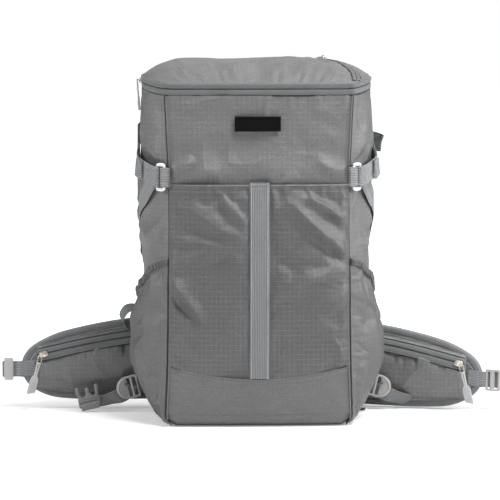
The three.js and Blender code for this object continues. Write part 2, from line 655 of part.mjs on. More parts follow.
function hipWing(side, yaw, drop, tilt) {
  const hinge = new THREE.Group();
  hinge.position.set(side * HIP_HINGE.x, HIP_HINGE.y, drop);
  const turned = new THREE.Group();
  turned.rotation.set(0, side * tilt, -side * yaw);
  hinge.add(turned);
  pack.add(hinge);
  const hand = side > 0 ? "_right" : "_left";
  const put = (name, geometry, material) =>
    add(name + hand, side > 0 ? geometry : mirrored(geometry), material, turned);

  put("hip_wing", plate(wingShape(0, 4), WING_T, 8), FOAM_MESH);
  put("hip_pocket", hipPocket(), RIPSTOP);
  const parked = SLIDER_PARK;
  const zipFace = -WING_T / 2 - 0.6 - HIP_POCKET.stand * 0.6 - SKIN;
  const slope = Math.atan2(hipZipZ(parked) - hipZipZ(0), parked);
  const rest = [parked, zipFace - SLIDER_LIFT, hipZipZ(parked)];
  put("hip_slider", moved(sliderGeometry().rotateY(-slope), ...rest), NICKEL);
  const pull = pullGeometry({ link: 12, cord: 24, tab: 23 }).rotateY(-0.26);
  put("hip_pull", moved(pull, rest[0] + 4, rest[1] - 6.6, rest[2] - 1), PULL_RUBBER);

  // At the tip, webbing comes off the wing through a keeper and doubles back behind it.
  const tip = TIP.x + TIP.r;
  const off = WING_T / 2 + 1.8;
  const fold = tip + 24;
  const run = [
    [tip - 19, -off, 55], [tip + 2, -off, 54], [tip + 9, -2.2, 53.5], [fold - 3, -1.6, 53], [fold, 1.4, 53],
    [fold - 3, 4.4, 53], [tip + 9, 4.6, 52.5], [tip + 2, off, 52], [tip - 20, off, 50],
  ];
  put("hip_tip_web", strap(run, 21, WEB_T, [0, 0, 1]), WEBBING);
  const keeper = cut(new THREE.BoxGeometry(6, 14, 28), new THREE.BoxGeometry(12, 9.8, 23));
  put("hip_keeper", moved(keeper, fold - 8, 1.4, 53), GREY_PLASTIC);
  return turned;
}

function hipBelt() {
  const degrees = THREE.MathUtils.degToRad;
  const left = hipWing(-1, degrees(3), 0, degrees(0));
  const right = hipWing(1, degrees(16), -8, degrees(1.5));
  // The buckle halves hang below the wings on short doubled webbing.
  const male = join(maleBuckle(), buckleWeb());
  add("hip_buckle_male", moved(male.rotateY(-0.22), -86, -WING_T / 2 - 34, 18.5), GREY_PLASTIC, left);
  const female = join(femaleBuckle(), moved(buckleWeb(), 0, 0, -10)).rotateY(Math.PI);
  add("hip_buckle_female", moved(female, 64, WING_T / 2 + 10, 56), GREY_PLASTIC, right);
}

function buckleWeb() {
  const s = roundedRect(22, 9, 1.5);
  return moved(plate(s, 6.4), 0, 0, -BUCKLE.bar + 1);
}

// ---- Assembly ----
mainBag();
basePanel();
frontPocket();
sidePockets();
label();
const lidGroup = new THREE.Group();
pack.add(lidGroup);
lid(lidGroup);
lidZip(lidGroup);
sliders(lidGroup);
compressionStraps();
sideLocks();
gearLoop();
backPads();
shoulderStraps();
sternumStrap();
haulLoop();
hipBelt();

export default pack;
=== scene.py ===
"""A grey hiking daypack: its fabric, webbing, zips and buckles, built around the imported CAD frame.

Lengths in this file are in millimetres, and build() turns them into Blender's metres.
+Z is up, the front faces -Y, and the wearer stands at +Y.
"""

import math

import bmesh
import bpy
import numpy as np
from mathutils import Matrix, Vector


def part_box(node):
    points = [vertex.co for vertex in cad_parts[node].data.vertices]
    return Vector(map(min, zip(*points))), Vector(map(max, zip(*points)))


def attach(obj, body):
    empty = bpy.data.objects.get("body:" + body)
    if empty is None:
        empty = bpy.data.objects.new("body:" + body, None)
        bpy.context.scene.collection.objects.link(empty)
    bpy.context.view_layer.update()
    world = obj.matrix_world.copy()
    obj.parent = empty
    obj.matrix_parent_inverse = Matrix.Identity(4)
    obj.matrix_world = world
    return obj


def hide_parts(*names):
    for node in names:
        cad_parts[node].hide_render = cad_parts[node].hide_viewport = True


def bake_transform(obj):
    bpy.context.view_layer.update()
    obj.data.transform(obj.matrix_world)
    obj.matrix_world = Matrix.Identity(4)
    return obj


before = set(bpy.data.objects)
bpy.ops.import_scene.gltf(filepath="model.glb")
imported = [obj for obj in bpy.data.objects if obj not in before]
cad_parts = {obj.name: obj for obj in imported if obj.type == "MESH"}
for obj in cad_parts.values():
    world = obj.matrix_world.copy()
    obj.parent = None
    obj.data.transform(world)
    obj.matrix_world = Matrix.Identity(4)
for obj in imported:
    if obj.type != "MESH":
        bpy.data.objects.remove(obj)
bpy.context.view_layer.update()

MM = 0.001
PANEL = 2.0  # thickness of a sewn panel
WEB = 25.0  # webbing width
WEB_T = 1.6  # webbing thickness
GUSSET_TURN = 0.42  # share of a side over which it curves back from the front seam
REAR_TURN = 0.85  # where a side starts to curve in to the back
REAR_RADIUS = 14.0
BAG_MIDDLE = np.array([0, 0, 200.0])


# ---- Numbers and curves ----
def ease(t):
    t = np.clip(t, 0, 1)
    return t * t * (3 - 2 * t)


def through(keys):
    """A smooth function through (place, value) keys."""
    places, values = (np.array(k, float) for k in zip(*keys))

    def f(p):
        p = np.clip(np.asarray(p, float), places[0], places[-1])
        i = np.clip(np.searchsorted(places, p) - 1, 0, len(places) - 2)
        t = ease((p - places[i]) / (places[i + 1] - places[i]))
        return values[i] + (values[i + 1] - values[i]) * t

    return f


def spline(points, step=2.0):
    """A smooth path through the points, with a point about every step."""
    p = np.array(points, float)
    p = np.vstack([2 * p[0] - p[1], p, 2 * p[-1] - p[-2]])
    out = []
    for a, b, c, d in zip(p, p[1:], p[2:], p[3:]):
        n = max(2, int(np.linalg.norm(c - b) / step))
        t = np.linspace(0, 1, n, endpoint=False)[:, None]
        out.append(
            0.5
            * (2 * b + (c - a) * t + (2 * a - 5 * b + 4 * c - d) * t**2 + (3 * b - a - 3 * c + d) * t**3)
        )
    return np.vstack(out + [p[-2:-1]])


def noise(x, y, size, seed):
    """Smooth noise between -1 and 1, with bumps about size across."""
    side = 64
    lattice = np.random.default_rng(seed).uniform(-1, 1, (side, side))
    gx, gy = np.asarray(x) / size + 31.3, np.asarray(y) / size + 31.7
    ix, iy = np.floor(gx).astype(int), np.floor(gy).astype(int)
    fx, fy = ease(gx - ix), ease(gy - iy)

    def at(i, j):
        return lattice[i % side, j % side]

    low = at(ix, iy) * (1 - fx) + at(ix + 1, iy) * fx
    high = at(ix, iy + 1) * (1 - fx) + at(ix + 1, iy + 1) * fx
    return low * (1 - fy) + high * fy


def crumple(x, y, size, seed):
    """Soft creases, from 0 to 1, of the sort that coated cloth holds."""
    warp = 0.35 * size
    x, y = x + warp * noise(x, y, size * 1.7, seed + 1), y + warp * noise(x, y, size * 1.7, seed + 2)
    return (1 - np.abs(noise(x, y, size, seed))) ** 3


def fold(x, y, start, end, width, height):
    """A raised crease from start to end that fades out at both, with a hollow along its lower side."""
    (x0, y0), (x1, y1) = start, end
    length = math.hypot(x1 - x0, y1 - y0)
    c, s = (x1 - x0) / length, (y1 - y0) / length
    along = ((x - x0) * c + (y - y0) * s) / length
    across = (-(x - x0) * s + (y - y0) * c) / width * (1 if c > 0 else -1)
    across = across + 0.35 * np.sin(4 * along + x0)
    shape = np.exp(-np.abs(across) ** 1.5) - 0.45 * np.exp(-((across + 1.5) ** 2))
    return height * shape * np.sin(math.pi * np.clip(along, 0, 1)) ** 0.7


def folds_of(x, y, rows):
    return sum(fold(x, y, *row) for row in rows)


def unit(v):
    return v / np.maximum(np.linalg.norm(v, axis=-1, keepdims=True), 1e-9)


# ---- The bag's outline, measured on the frame ----
def slice_of(node, z):
    """The points where a CAD node's edges cross the height z."""
    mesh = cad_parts[node].data
    co = np.array([v.co for v in mesh.vertices]) / MM
    ends = np.array([e.vertices for e in mesh.edges])
    a, b = co[ends[:, 0]], co[ends[:, 1]]
    cut = (a[:, 2] - z) * (b[:, 2] - z) < 0
    a, b = a[cut], b[cut]
    return a + (b - a) * ((z - a[:, 2]) / (b[:, 2] - a[:, 2]))[:, None]


def top_of(node):
    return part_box(node)[1] / MM


def measured_outline():
    """Half width and depth of the bag at a set of heights."""
    levels = np.array([20, 45, 80, 130, 190, 250, 310, 370, 420.0])
    rows = []
    for z in levels:
        front, side = slice_of("front_panel", z), slice_of("side_panel_right", z)
        edge = front[front[:, 0] > front[:, 0].max() - 6]
        rows.append(
            (front[:, 0].max() + 1, side[:, 0].max() - PANEL, -edge[:, 1].max(), -front[:, 1].min() - PANEL)
        )
    return [lambda z, v=np.array(v): np.interp(z, levels, v) for v in zip(*rows)]


seam_x, side_x, seam_y, middle_y = measured_outline()
BACK_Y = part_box("back_panel")[0].y / MM - 0.5
ZIP_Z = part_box("zip_band_upper")[0].z / MM - 0.35
BAND_H = 7.5
BAND_END = 1.995  # where the covered zip ends, at the rear corners
ZIP_RISE = 7.0
BOOT_RISE = 17.0
BOOT_TOP = top_of("base_panel").z - BOOT_RISE + 0.5
POCKET_TOP = top_of("front_pocket").z


def outline(s, z):
    """The bag at height z: s is -1 to 1 across the front, on to 2 (right) or -2 (left) along the side."""
    a = np.abs(s)
    t = np.clip(a - 1, 0, 1)
    front = np.stack(
        [s * seam_x(z), -seam_y(z) - (middle_y(z) - seam_y(z)) * (1 - np.minimum(a, 1) ** 2)], -1
    )
    bulge = 1 - (1 - np.clip(t / GUSSET_TURN, 0, 1)) ** 2
    tail = np.clip((t - REAR_TURN) / (1 - REAR_TURN), 0, 1) ** 2
    x = seam_x(z) + (side_x(z) - seam_x(z)) * bulge - REAR_RADIUS * tail
    side = np.stack([np.sign(s) * x, -seam_y(z) + (BACK_Y + seam_y(z)) * t], -1)
    return np.where((a <= 1)[..., None], front, side)


def on_bag(s, z, lift):
    """Points on the bag, lifted off it along the horizontal normal."""
    s, z, lift = np.broadcast_arrays(np.asarray(s, float), np.asarray(z, float), np.asarray(lift, float))
    step = 0.02
    along = unit(outline(np.minimum(s + step, 2), z) - outline(np.maximum(s - step, -2), z))
    p = outline(s, z)
    return np.stack([p[..., 0] + along[..., 1] * lift, p[..., 1] - along[..., 0] * lift, z], -1)


def zip_z(s):
    return ZIP_Z + ZIP_RISE * ease((np.abs(s) - 0.9) / 0.5)


def boot_z(s):
    return BOOT_TOP + BOOT_RISE * s * s


# ---- Meshes ----
def build(name, points, faces, material, body, nodes=(), uv=None, sharp=50):
    """A mesh object from points in mm. It rides on a body and stands for CAD nodes."""
    mesh = bpy.data.meshes.new(name)
    faces = faces.tolist() if isinstance(faces, np.ndarray) else [tuple(map(int, f)) for f in faces]
    mesh.from_pydata((np.asarray(points) * MM).tolist(), [], faces)
    if uv is not None:
        layer = mesh.uv_layers.new(name="cloth")
        index = np.zeros(len(mesh.loops), int)
        mesh.loops.foreach_get("vertex_index", index)
        layer.data.foreach_set("uv", (np.asarray(uv, float)[index] * MM).astype(np.float32).ravel())
    mesh.validate()
    mesh.shade_smooth()
    mesh.set_sharp_from_angle(angle=math.radians(sharp))
    mesh.materials.append(material)
    obj = bpy.data.objects.new(name, mesh)
    bpy.context.scene.collection.objects.link(obj)
    if body and facing_in(obj):
        mesh.flip_normals()
    if body:
        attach(obj, body)
    if nodes:
        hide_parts(*nodes)
    "slot" in material
    return obj


def grid_faces(nu, nv, close_u=False, start=0):
    """Quads of a grid of nv rows of nu points."""
    i, j = np.meshgrid(np.arange(nu if close_u else nu - 1), np.arange(nv - 1))
    i, j = i.ravel(), j.ravel()
    k = (i + 1) % nu
    return np.stack([j * nu + i, j * nu + k, (j + 1) * nu + k, (j + 1) * nu + i], 1) + start


def normals_of(p):
    """Unit normals of a grid of points."""
    return unit(np.cross(np.gradient(p, axis=1), np.gradient(p, axis=0)))


def cloth_uv(p):
    """Lengths along the rows and columns of a grid. An upright panel's weave stays level with the floor."""
    across = np.linalg.norm(np.diff(p, axis=1), axis=-1).mean(0)
    up = np.linalg.norm(np.diff(p, axis=0), axis=-1).mean(1)
    u = np.concatenate([[0], np.cumsum(across)])
    v = np.concatenate([[0], np.cumsum(up)])[:, None] + 0 * u
    if np.abs(normals_of(p)[..., 2]).mean() < 0.5:
        v = p[..., 2]
    return np.stack([u - u[len(u) // 2] + 0 * v, v], -1)


def sheet(name, p, material, body, nodes=(), thickness=1.2, toward=None):
    """A closed cloth sheet whose outer face is the grid p. toward says roughly which way that faces."""
    n = normals_of(p)
    toward = p - BAG_MIDDLE if toward is None else np.asarray(toward, float)
    if np.sum(n * toward) < 0:
        p, n = p[:, ::-1], -n[:, ::-1]
    nv, nu = p.shape[:2]
    inner = p - n * thickness
    faces = [grid_faces(nu, nv), grid_faces(nu, nv, start=nu * nv)[:, ::-1]]
    sides = [np.arange(nu), np.arange(1, nv) * nu + nu - 1]
    sides += [(nv - 1) * nu + np.arange(nu - 2, -1, -1), np.arange(nv - 2, 0, -1) * nu]
    rim = np.concatenate(sides)
    after = np.roll(rim, -1)
    faces.append(np.stack([after, rim, rim + nu * nv, after + nu * nv], 1))
    points = np.concatenate([p.reshape(-1, 3), inner.reshape(-1, 3)])
    uv = np.concatenate([cloth_uv(p).reshape(-1, 2)] * 2)
    obj = build(name, points, np.vstack(faces), material, body, nodes, uv)
    if facing_in(obj):
        obj.data.flip_normals()
    return obj


def widened(d, places, size):
    """Values known at some places of an axis, spread smoothly over all of it (the first axis)."""
    at = np.arange(size)
    flat = d.reshape(len(places), -1)
    out = np.stack([np.interp(at, places, flat[:, k]) for k in range(flat.shape[1])], 1)
    w = max(1, int(np.diff(places).mean() / 2))
    window = np.hanning(2 * w + 3)[1:-1]
    padded = np.pad(out, ((w, w), (0, 0)), mode="edge")
    out = np.stack([np.convolve(c, window / window.sum(), "valid") for c in padded.T], 1)
    return out.reshape((size,) + d.shape[1:])


def settle(p, pressure=3.0, slack=0.03, cap=5.0, step=4, held=None):
    """The grid p once its cloth, cut a little full and sewn round its rim, has been blown out from inside.

    held marks points that are sewn down too. No point moves further than cap. A simulation on a coarser grid
    gives the movement.
    """
    rows, cols = (np.unique(np.linspace(0, k - 1, k // step).astype(int)) for k in p.shape[:2])
    coarse = p[np.ix_(rows, cols)]
    nv, nu = coarse.shape[:2]
    mesh = bpy.data.meshes.new("settling")
    mesh.from_pydata((coarse.reshape(-1, 3) * MM).tolist(), [], grid_faces(nu, nv).tolist())
    if np.sum(normals_of(coarse) * (coarse - BAG_MIDDLE)) < 0:
        mesh.flip_normals()
    obj = bpy.data.objects.new("settling", mesh)
    scene = bpy.context.scene
    scene.collection.objects.link(obj)
    index = np.arange(nv * nu).reshape(nv, nu)
    rim = np.unique(np.concatenate([index[0], index[-1], index[:, 0], index[:, -1]]))
    if held is not None:
        rim = np.union1d(rim, index[held[np.ix_(rows, cols)]])
    obj.vertex_groups.new(name="sewn").add(rim.tolist(), 1.0, "REPLACE")
    cloth = obj.modifiers.new("cloth", "CLOTH")
    cloth.point_cache.frame_end = 20
    cloth.settings.vertex_group_mass = "sewn"
    cloth.settings.effector_weights.gravity = 0
    cloth.settings.shrink_min = -slack
    cloth.settings.use_pressure = True
    cloth.settings.uniform_pressure_force = pressure
    cloth.settings.tension_stiffness = cloth.settings.compression_stiffness = 20
    cloth.settings.bending_stiffness = 0.4
    for frame_number in range(1, 21):
        scene.frame_set(frame_number)
    result = obj.evaluated_get(bpy.context.evaluated_depsgraph_get()).data
    moved = np.zeros(nv * nu * 3)
    result.vertices.foreach_get("co", moved)
    shift = moved.reshape(nv, nu, 3) / MM - coarse
    size = np.linalg.norm(shift, axis=-1, keepdims=True)
    shift = shift * np.minimum(1, cap / np.maximum(size, 1e-6))
    bpy.data.objects.remove(obj)
    bpy.data.meshes.remove(mesh)
    scene.frame_set(1)
    tall = widened(shift, rows, p.shape[0])
    return p + widened(tall.swapaxes(0, 1), cols, p.shape[1]).swapaxes(0, 1)


def facing_in(obj):
    """Whether a closed mesh's faces point inwards."""
    mesh = obj.data
    mesh.calc_loop_triangles()
    co, index = np.zeros(len(mesh.vertices) * 3), np.zeros(len(mesh.loop_triangles) * 3, int)
    mesh.vertices.foreach_get("co", co)
    mesh.loop_triangles.foreach_get("vertices", index)
    tri = co.reshape(-1, 3)[index.reshape(-1, 3)]
    return np.einsum("ij,ij->i", tri[:, 0], np.cross(tri[:, 1], tri[:, 2])).sum() < 0


def sweep(name, path, profile, side, material, body, nodes=(), closed=False, sharp=50):
    """A solid swept along a path. profile holds (across, up) points; side is the across direction."""
    path = np.asarray(path, float)
    if closed:
        along = unit(np.roll(path, -1, 0) - np.roll(path, 1, 0))
    else:
        along = unit(np.gradient(path, axis=0))
    side = np.broadcast_to(np.asarray(side, float), path.shape)
    across = unit(side - along * np.sum(side * along, -1, keepdims=True))
    up = np.cross(along, across)
    profile = np.asarray(profile, float)
    if profile.ndim == 2:
        profile = np.broadcast_to(profile, (len(path),) + profile.shape)
    p = path[:, None] + across[:, None] * profile[..., :1] + up[:, None] * profile[..., 1:]
    k, n = profile.shape[1], len(path)
    faces = [f for f in grid_faces(k, n, close_u=True)]
    if closed:
        last = (n - 1) * k
        faces += [(last + i, last + (i + 1) % k, (i + 1) % k, i) for i in range(k)]
    else:
        faces += [tuple(range(k))[::-1], tuple((n - 1) * k + i for i in range(k))]
    run = np.concatenate([[0], np.cumsum(np.linalg.norm(np.diff(path, axis=0), axis=1))])
    uv = np.stack([profile[..., 0], np.broadcast_to(run[:, None], (n, k))], -1)
    obj = build(name, p.reshape(-1, 3), faces, material, body, nodes, uv.reshape(-1, 2), sharp)
    if facing_in(obj):
        obj.data.flip_normals()
    return obj


def ribbed(width, thickness, ribs=12, depth=0.22):
    """The cross-section of webbing: shallow lengthwise ribs and rounded edges."""
    steps = ribs * 4
    x = np.linspace(-1, 1, steps + 1)
    edge = np.clip((1 - np.abs(x)) * width / 2 / thickness, 0, 1) ** 0.5
    y = (thickness / 2 - depth * (0.5 - 0.5 * np.cos(x * ribs * math.pi))) * (0.45 + 0.55 * edge)
    top = np.stack([x * width / 2, y], 1)
    return np.vstack([top, (top * [1, -1])[::-1]])


def ring(radius_a, radius_b=None, steps=12, power=1.0):
    """A rounded cross-section."""
    a = np.linspace(0, 2 * math.pi, steps, endpoint=False)
    c, s = np.cos(a), np.sin(a)
    b = radius_a if radius_b is None else radius_b
    return np.stack([np.sign(c) * np.abs(c) ** power * radius_a, np.sign(s) * np.abs(s) ** power * b], 1)


def tube(name, path, radius, material, body, nodes=(), closed=False, flat=1.0):
    path = np.asarray(path, float)
    side = (0.13, 0.21, 1.0) if abs(unit(path[-1] - path[0])[2]) < 0.8 or closed else (1.0, 0.2, 0.1)
    return sweep(name, path, ring(radius, radius * flat, 10), side, material, body, nodes, closed)


def join(objs, name):
    """Merges objects on the same body into the first."""
    first = objs[0]
    with bpy.context.temp_override(active_object=first, selected_editable_objects=objs):
        bpy.ops.object.join()
    first.name = name
    first.data.name = name
    return first


def stitches(name, path, body, out, pitch=3.4, length=2.3, radius=0.33, material=None):
    """A row of thread stitches along a path, lying on a surface whose outward direction is out."""
    path = np.asarray(path, float)
    run = np.concatenate([[0], np.cumsum(np.linalg.norm(np.diff(path, axis=0), axis=1))])
    at = np.arange(pitch / 2, run[-1], pitch)
    centre = np.stack([np.interp(at, run, path[:, k]) for k in range(3)], 1)
    along = unit(np.stack([np.interp(at + 0.5, run, path[:, k]) for k in range(3)], 1) - centre)
    out = np.broadcast_to(np.asarray(out, float), path.shape)
    normal = unit(np.stack([np.interp(at, run, out[:, k]) for k in range(3)], 1))
    across = unit(np.cross(along, normal))
    shape = [
        (-0.5, 0, 0), (-0.25, 1, 0), (-0.25, 0, 1), (-0.25, -1, 0), (0.25, 1, 0), (0.25, 0, 1),
        (0.25, -1, 0), (0.5, 0, 0)
    ]
    quads = [
        (0, 1, 2), (0, 2, 3), (1, 4, 5, 2), (2, 5, 6, 3), (4, 7, 5), (5, 7, 6), (0, 3, 1), (1, 3, 6, 4),
        (4, 6, 7)
    ]
    points, faces = [], []
    for i in range(len(at)):
        base = len(points)
        for a, b, c in shape:
            points.append(
                centre[i] + along[i] * a * length + across[i] * b * radius + normal[i] * c * radius
            )
        faces += [tuple(base + k for k in q) for q in quads]
    return build(name, points, faces, material or thread(), body, sharp=180)


# ---- Materials ----
class Nodes:
    """A small wrapper that adds shader nodes to one material."""

    def __init__(self, name, slot=None):
        self.material = bpy.data.materials.new(name)
        self.material.use_nodes = True
        if slot:
            self.material["slot"] = slot
        self.tree = self.material.node_tree
        self.shader = self.tree.nodes["Principled BSDF"]

    def add(self, kind, inputs=(), **settings):
        node = self.tree.nodes.new(kind)
        for key, value in settings.items():
            setattr(node, key, value)
        for key, value in dict(inputs).items():
            self.put(node.inputs[key], value)
        return node

    def put(self, socket, value):
        if isinstance(value, bpy.types.NodeSocket):
            self.tree.links.new(value, socket)
        elif isinstance(value, bpy.types.Node):
            self.tree.links.new(value.outputs[0], socket)
        else:
            socket.default_value = value

    def math(self, operation, a, b=0.0, c=0.0):
        return self.add("ShaderNodeMath", {0: a, 1: b, 2: c}, operation=operation).outputs[0]

    def mix(self, factor, a, b):
        node = self.add("ShaderNodeMix", data_type="RGBA")
        self.put(node.inputs[0], factor)
        self.put(node.inputs[6], a)
        self.put(node.inputs[7], b)
        return node.outputs[2]

    def cloth(self):
        """The cloth coordinates, in mm along and across the piece."""
        uv = self.add("ShaderNodeUVMap", uv_map="cloth")
        parts = self.add("ShaderNodeSeparateXYZ", {0: uv})
        return [self.math("MULTIPLY", parts.outputs[k], 1 / MM) for k in (0, 1)]

    def place(self):
        """The position on the object, in metres."""
        return self.add("ShaderNodeTexCoord").outputs["Object"]

    def noise(self, vector, scale, detail=3.0, rough=0.5):
        inputs = {"Vector": vector, "Scale": scale, "Detail": detail, "Roughness": rough}
        return self.add("ShaderNodeTexNoise", inputs).outputs[0]

    def ramp(self, value, low, high, to_low=0.0, to_high=1.0):
        inputs = {0: value, 1: low, 2: high, 3: to_low, 4: to_high}
        return self.add("ShaderNodeMapRange", inputs, clamp=True).outputs[0]

    def bump(self, height, strength, distance=0.001, normal=None):
        node = self.add("ShaderNodeBump", {"Height": height, "Strength": strength, "Distance": distance})
        if normal is not None:
            self.put(node.inputs["Normal"], normal)
        return node.outputs[0]

    def finish(self, color, roughness, normal=None, metallic=0.0, sheen=0.0):
        self.put(self.shader.inputs["Base Color"], color)
        self.put(self.shader.inputs["Roughness"], roughness)
        self.put(self.shader.inputs["Metallic"], metallic)
        self.put(self.shader.inputs["Sheen Weight"], sheen)
        if normal is not None:
            self.put(self.shader.inputs["Normal"], normal)
        return self.material


def grey(v, warm=0.0):
    return (v * (1 + warm), v, v * (1 - warm), 1)


_made = {}


def once(make):
    """Makes a material the first time it is asked for."""

    def wrapped(*args):
        key = (make.__name__,) + args
        if key not in _made:
            _made[key] = make(*args)
        return _made[key]

    return wrapped


def lines(m, coordinate, pitch, width, wobble):
    """Raised threads at a pitch: 1 on a thread and 0 off it."""
    shifted = m.math("ADD", coordinate, wobble)
    phase = m.math("PINGPONG", shifted, pitch / 2)
    return m.ramp(phase, width / 2, width / 2 + 0.35, 1.0, 0.0)


@once
def ripstop(tone=0.1, grid=1.0, gloss=0.4):
    """Coated ripstop: a plain weave with a raised thread every few millimetres both ways, painted lighter,
    partly as a painted highlight on the raised thread.
    """
    m = Nodes("ripstop", "ripstop")
    u, v = m.cloth()
    place = m.place()
    wobble = m.math("MULTIPLY_ADD", m.noise(place, 30), 1.0, -0.5)
    pitch = 6.3
    along = lines(m, v, pitch, 0.34, wobble)
    up = lines(m, u, pitch, 0.3, wobble)
    # The threads come and go along their length, in slubs.
    stretched = m.add(
        "ShaderNodeCombineXYZ", {0: m.math("MULTIPLY", u, 0.09), 1: m.math("MULTIPLY", v, 0.9)}
    )
    slub = m.ramp(m.noise(stretched.outputs[0], 1.0, 2), 0.38, 0.62, 0.35, 1.0)
    along = m.math("MULTIPLY", along, slub)
    up = m.math("MULTIPLY", up, m.ramp(m.noise(place, 60), 0.35, 0.62, 0.3, 0.85))
    threads = m.math("MULTIPLY", m.math("MAXIMUM", along, up), grid)
    fine = m.math(
        "MULTIPLY", m.math("SINE", m.math("MULTIPLY", u, 8.0)), m.math("SINE", m.math("MULTIPLY", v, 8.0))
    )
    streak = m.add("ShaderNodeCombineXYZ", {0: m.math("MULTIPLY", u, 0.05), 1: m.math("MULTIPLY", v, 1.1)})
    weft = m.ramp(m.noise(streak.outputs[0], 1.0, 3), 0.3, 0.75, 0.86, 1.16)
    mottle = m.math("MULTIPLY", weft, m.ramp(m.noise(place, 14, 4), 0.3, 0.7, 0.88, 1.1))
    mottle = m.math("MULTIPLY", mottle, m.ramp(m.noise(place, 520, 3), 0.3, 0.7, 0.82, 1.2))
    # The raised threads are painted lighter: partly their own colour, partly a painted highlight where they
    # catch the light.
    base = m.mix(threads, grey(tone, -0.006), grey(tone * 1.0 + 0.055, -0.01))
    base = m.mix(m.math("MULTIPLY", m.math("ADD", fine, 1), 0.12), base, grey(tone * 0.5))
    tint = m.add("ShaderNodeCombineXYZ", {0: mottle, 1: mottle, 2: mottle})
    tinted = m.add("ShaderNodeVectorMath", {0: base, 1: tint}, operation="MULTIPLY")
    height = m.math("ADD", m.math("MULTIPLY", threads, 0.5), m.math("MULTIPLY", fine, 0.2))
    height = m.math("ADD", height, m.math("MULTIPLY", m.noise(place, 420, 2), 0.45))
    rough = m.ramp(m.noise(place, 26, 3), 0.35, 0.7, gloss, gloss + 0.08)
    soft = m.bump(m.noise(place, 42, 4), 0.5, 0.004)
    m.put(m.shader.inputs["Specular IOR Level"], 0.85)
    return m.finish(tinted.outputs[0], rough, m.bump(height, 0.45, 0.0004, soft))


@once
def trim():
    """Smooth coated fabric over a padded core, as on the covered zip."""
    m = Nodes("trim", "trim")
    u, v = m.cloth()
    place = m.place()
    weave = m.math(
        "MULTIPLY", m.math("SINE", m.math("MULTIPLY", u, 6.5)), m.math("SINE", m.math("MULTIPLY", v, 6.5))
    )
    base = m.mix(m.ramp(m.noise(place, 35, 4), 0.3, 0.7), grey(0.1, -0.02), grey(0.13, -0.03))
    height = m.math("ADD", m.math("MULTIPLY", weave, 0.3), m.noise(place, 300, 2))
    return m.finish(base, 0.62, m.bump(height, 0.35, 0.0004), sheen=0.15)


@once
def web_cloth(tone=0.3, stitched=False):
    """Ribbed webbing: lengthwise cords and fine cross threads, with painted shade in the grooves between
    them. stitched adds a row near each edge.
    """
    m = Nodes("webbing", "webbing")
    u, v = m.cloth()
    place = m.place()
    cross = m.math("SINE", m.math("MULTIPLY", v, 2 * math.pi / 1.5))
    cord = m.math("SINE", m.math("MULTIPLY", u, 2 * math.pi / 2.2))
    # Painted shade: the grooves between the cords and between the cross threads are painted darker.
    base = m.mix(m.ramp(cord, -0.9, 0.6), grey(tone * 0.5, -0.03), grey(tone * 1.1, -0.035))
    base = m.mix(m.ramp(cross, -0.9, 0.9, 0.22, 0.0), base, grey(tone * 0.5, -0.02))
    if stitched:
        edge = m.ramp(
            m.math("ABSOLUTE", m.math("SUBTRACT", m.math("ABSOLUTE", u), 10.4)), 0.35, 0.8, 1.0, 0.0
        )
        dots = m.ramp(m.math("SINE", m.math("MULTIPLY", v, 2 * math.pi / 3.2)), -0.2, 0.4)
        base = m.mix(m.math("MULTIPLY", edge, dots), base, grey(tone * 1.9, -0.01))
    base = m.mix(m.ramp(m.noise(place, 90, 4), 0.35, 0.65, 0.0, 0.35), base, grey(tone * 0.75, -0.02))
    height = m.math("ADD", m.math("MULTIPLY", cross, 0.6), m.math("MULTIPLY", cord, 1.6))
    height = m.math("ADD", height, m.math("MULTIPLY", m.noise(place, 900, 2), 0.6))
    return m.finish(base, 0.7, m.bump(height, 0.6, 0.0004), sheen=0.1)


@once
def binding(tone=0.17):
    """Soft plain-woven edge binding."""
    m = Nodes("binding", "trim")
    u, v = m.cloth()
    place = m.place()
    rib = m.math("SINE", m.math("MULTIPLY", m.math("ADD", u, v), 5.2))
    base = m.mix(m.ramp(m.noise(place, 50, 4), 0.3, 0.7), grey(tone * 0.88, -0.03), grey(tone * 1.1, -0.03))
    height = m.math("ADD", m.math("MULTIPLY", rib, 0.5), m.noise(place, 500, 3))
    return m.finish(base, 0.78, m.bump(height, 0.5, 0.0004), sheen=0.3)


@once
def elastic():
    """Gathered cloth over elastic, with painted shade down in its pleats."""
    m = Nodes("elastic", "elastic")
    place = m.place()
    # Painted shade: hollow marks the pleats' hollows, found from Pointiness, which are painted near black
    # below.
    hollow = m.ramp(m.add("ShaderNodeNewGeometry").outputs["Pointiness"], 0.42, 0.54, 1.0, 0.0)
    base = m.mix(m.ramp(m.noise(place, 300, 4), 0.35, 0.65), grey(0.075), grey(0.12, -0.01))
    base = m.mix(hollow, base, grey(0.012))
    return m.finish(base, 0.6, m.bump(m.noise(place, 700, 3), 0.5, 0.0005))


@once
def spacer_mesh(tone=0.13):
    """Air mesh: a net of small holes over foam, the holes painted dark as shade."""
    m = Nodes("spacer_mesh", "foam_mesh")
    place = m.place()
    cells = m.add(
        "ShaderNodeTexVoronoi", {"Vector": place, "Scale": 330.0, "Randomness": 0.25}, feature="F1"
    )
    hole = m.ramp(cells.outputs["Distance"], 0.28, 0.5, 0.0, 1.0)
    # Painted shade: the holes are painted dark, as the shade down in them.
    base = m.mix(hole, grey(tone * 0.3), grey(tone * 1.2, -0.01))
    base = m.mix(m.ramp(m.noise(place, 12, 3), 0.35, 0.65, 0.0, 0.3), base, grey(tone * 0.6))
    return m.finish(base, 0.85, m.bump(hole, 0.9, 0.0008), sheen=0.2)


@once
def thread(tone=0.3):
    m = Nodes("thread", "webbing")
    place = m.place()
    twist = m.noise(place, 2500, 2)
    base = m.mix(twist, grey(tone * 0.8), grey(tone * 1.2))
    return m.finish(base, 0.6, m.bump(twist, 0.4, 0.0002), sheen=0.2)


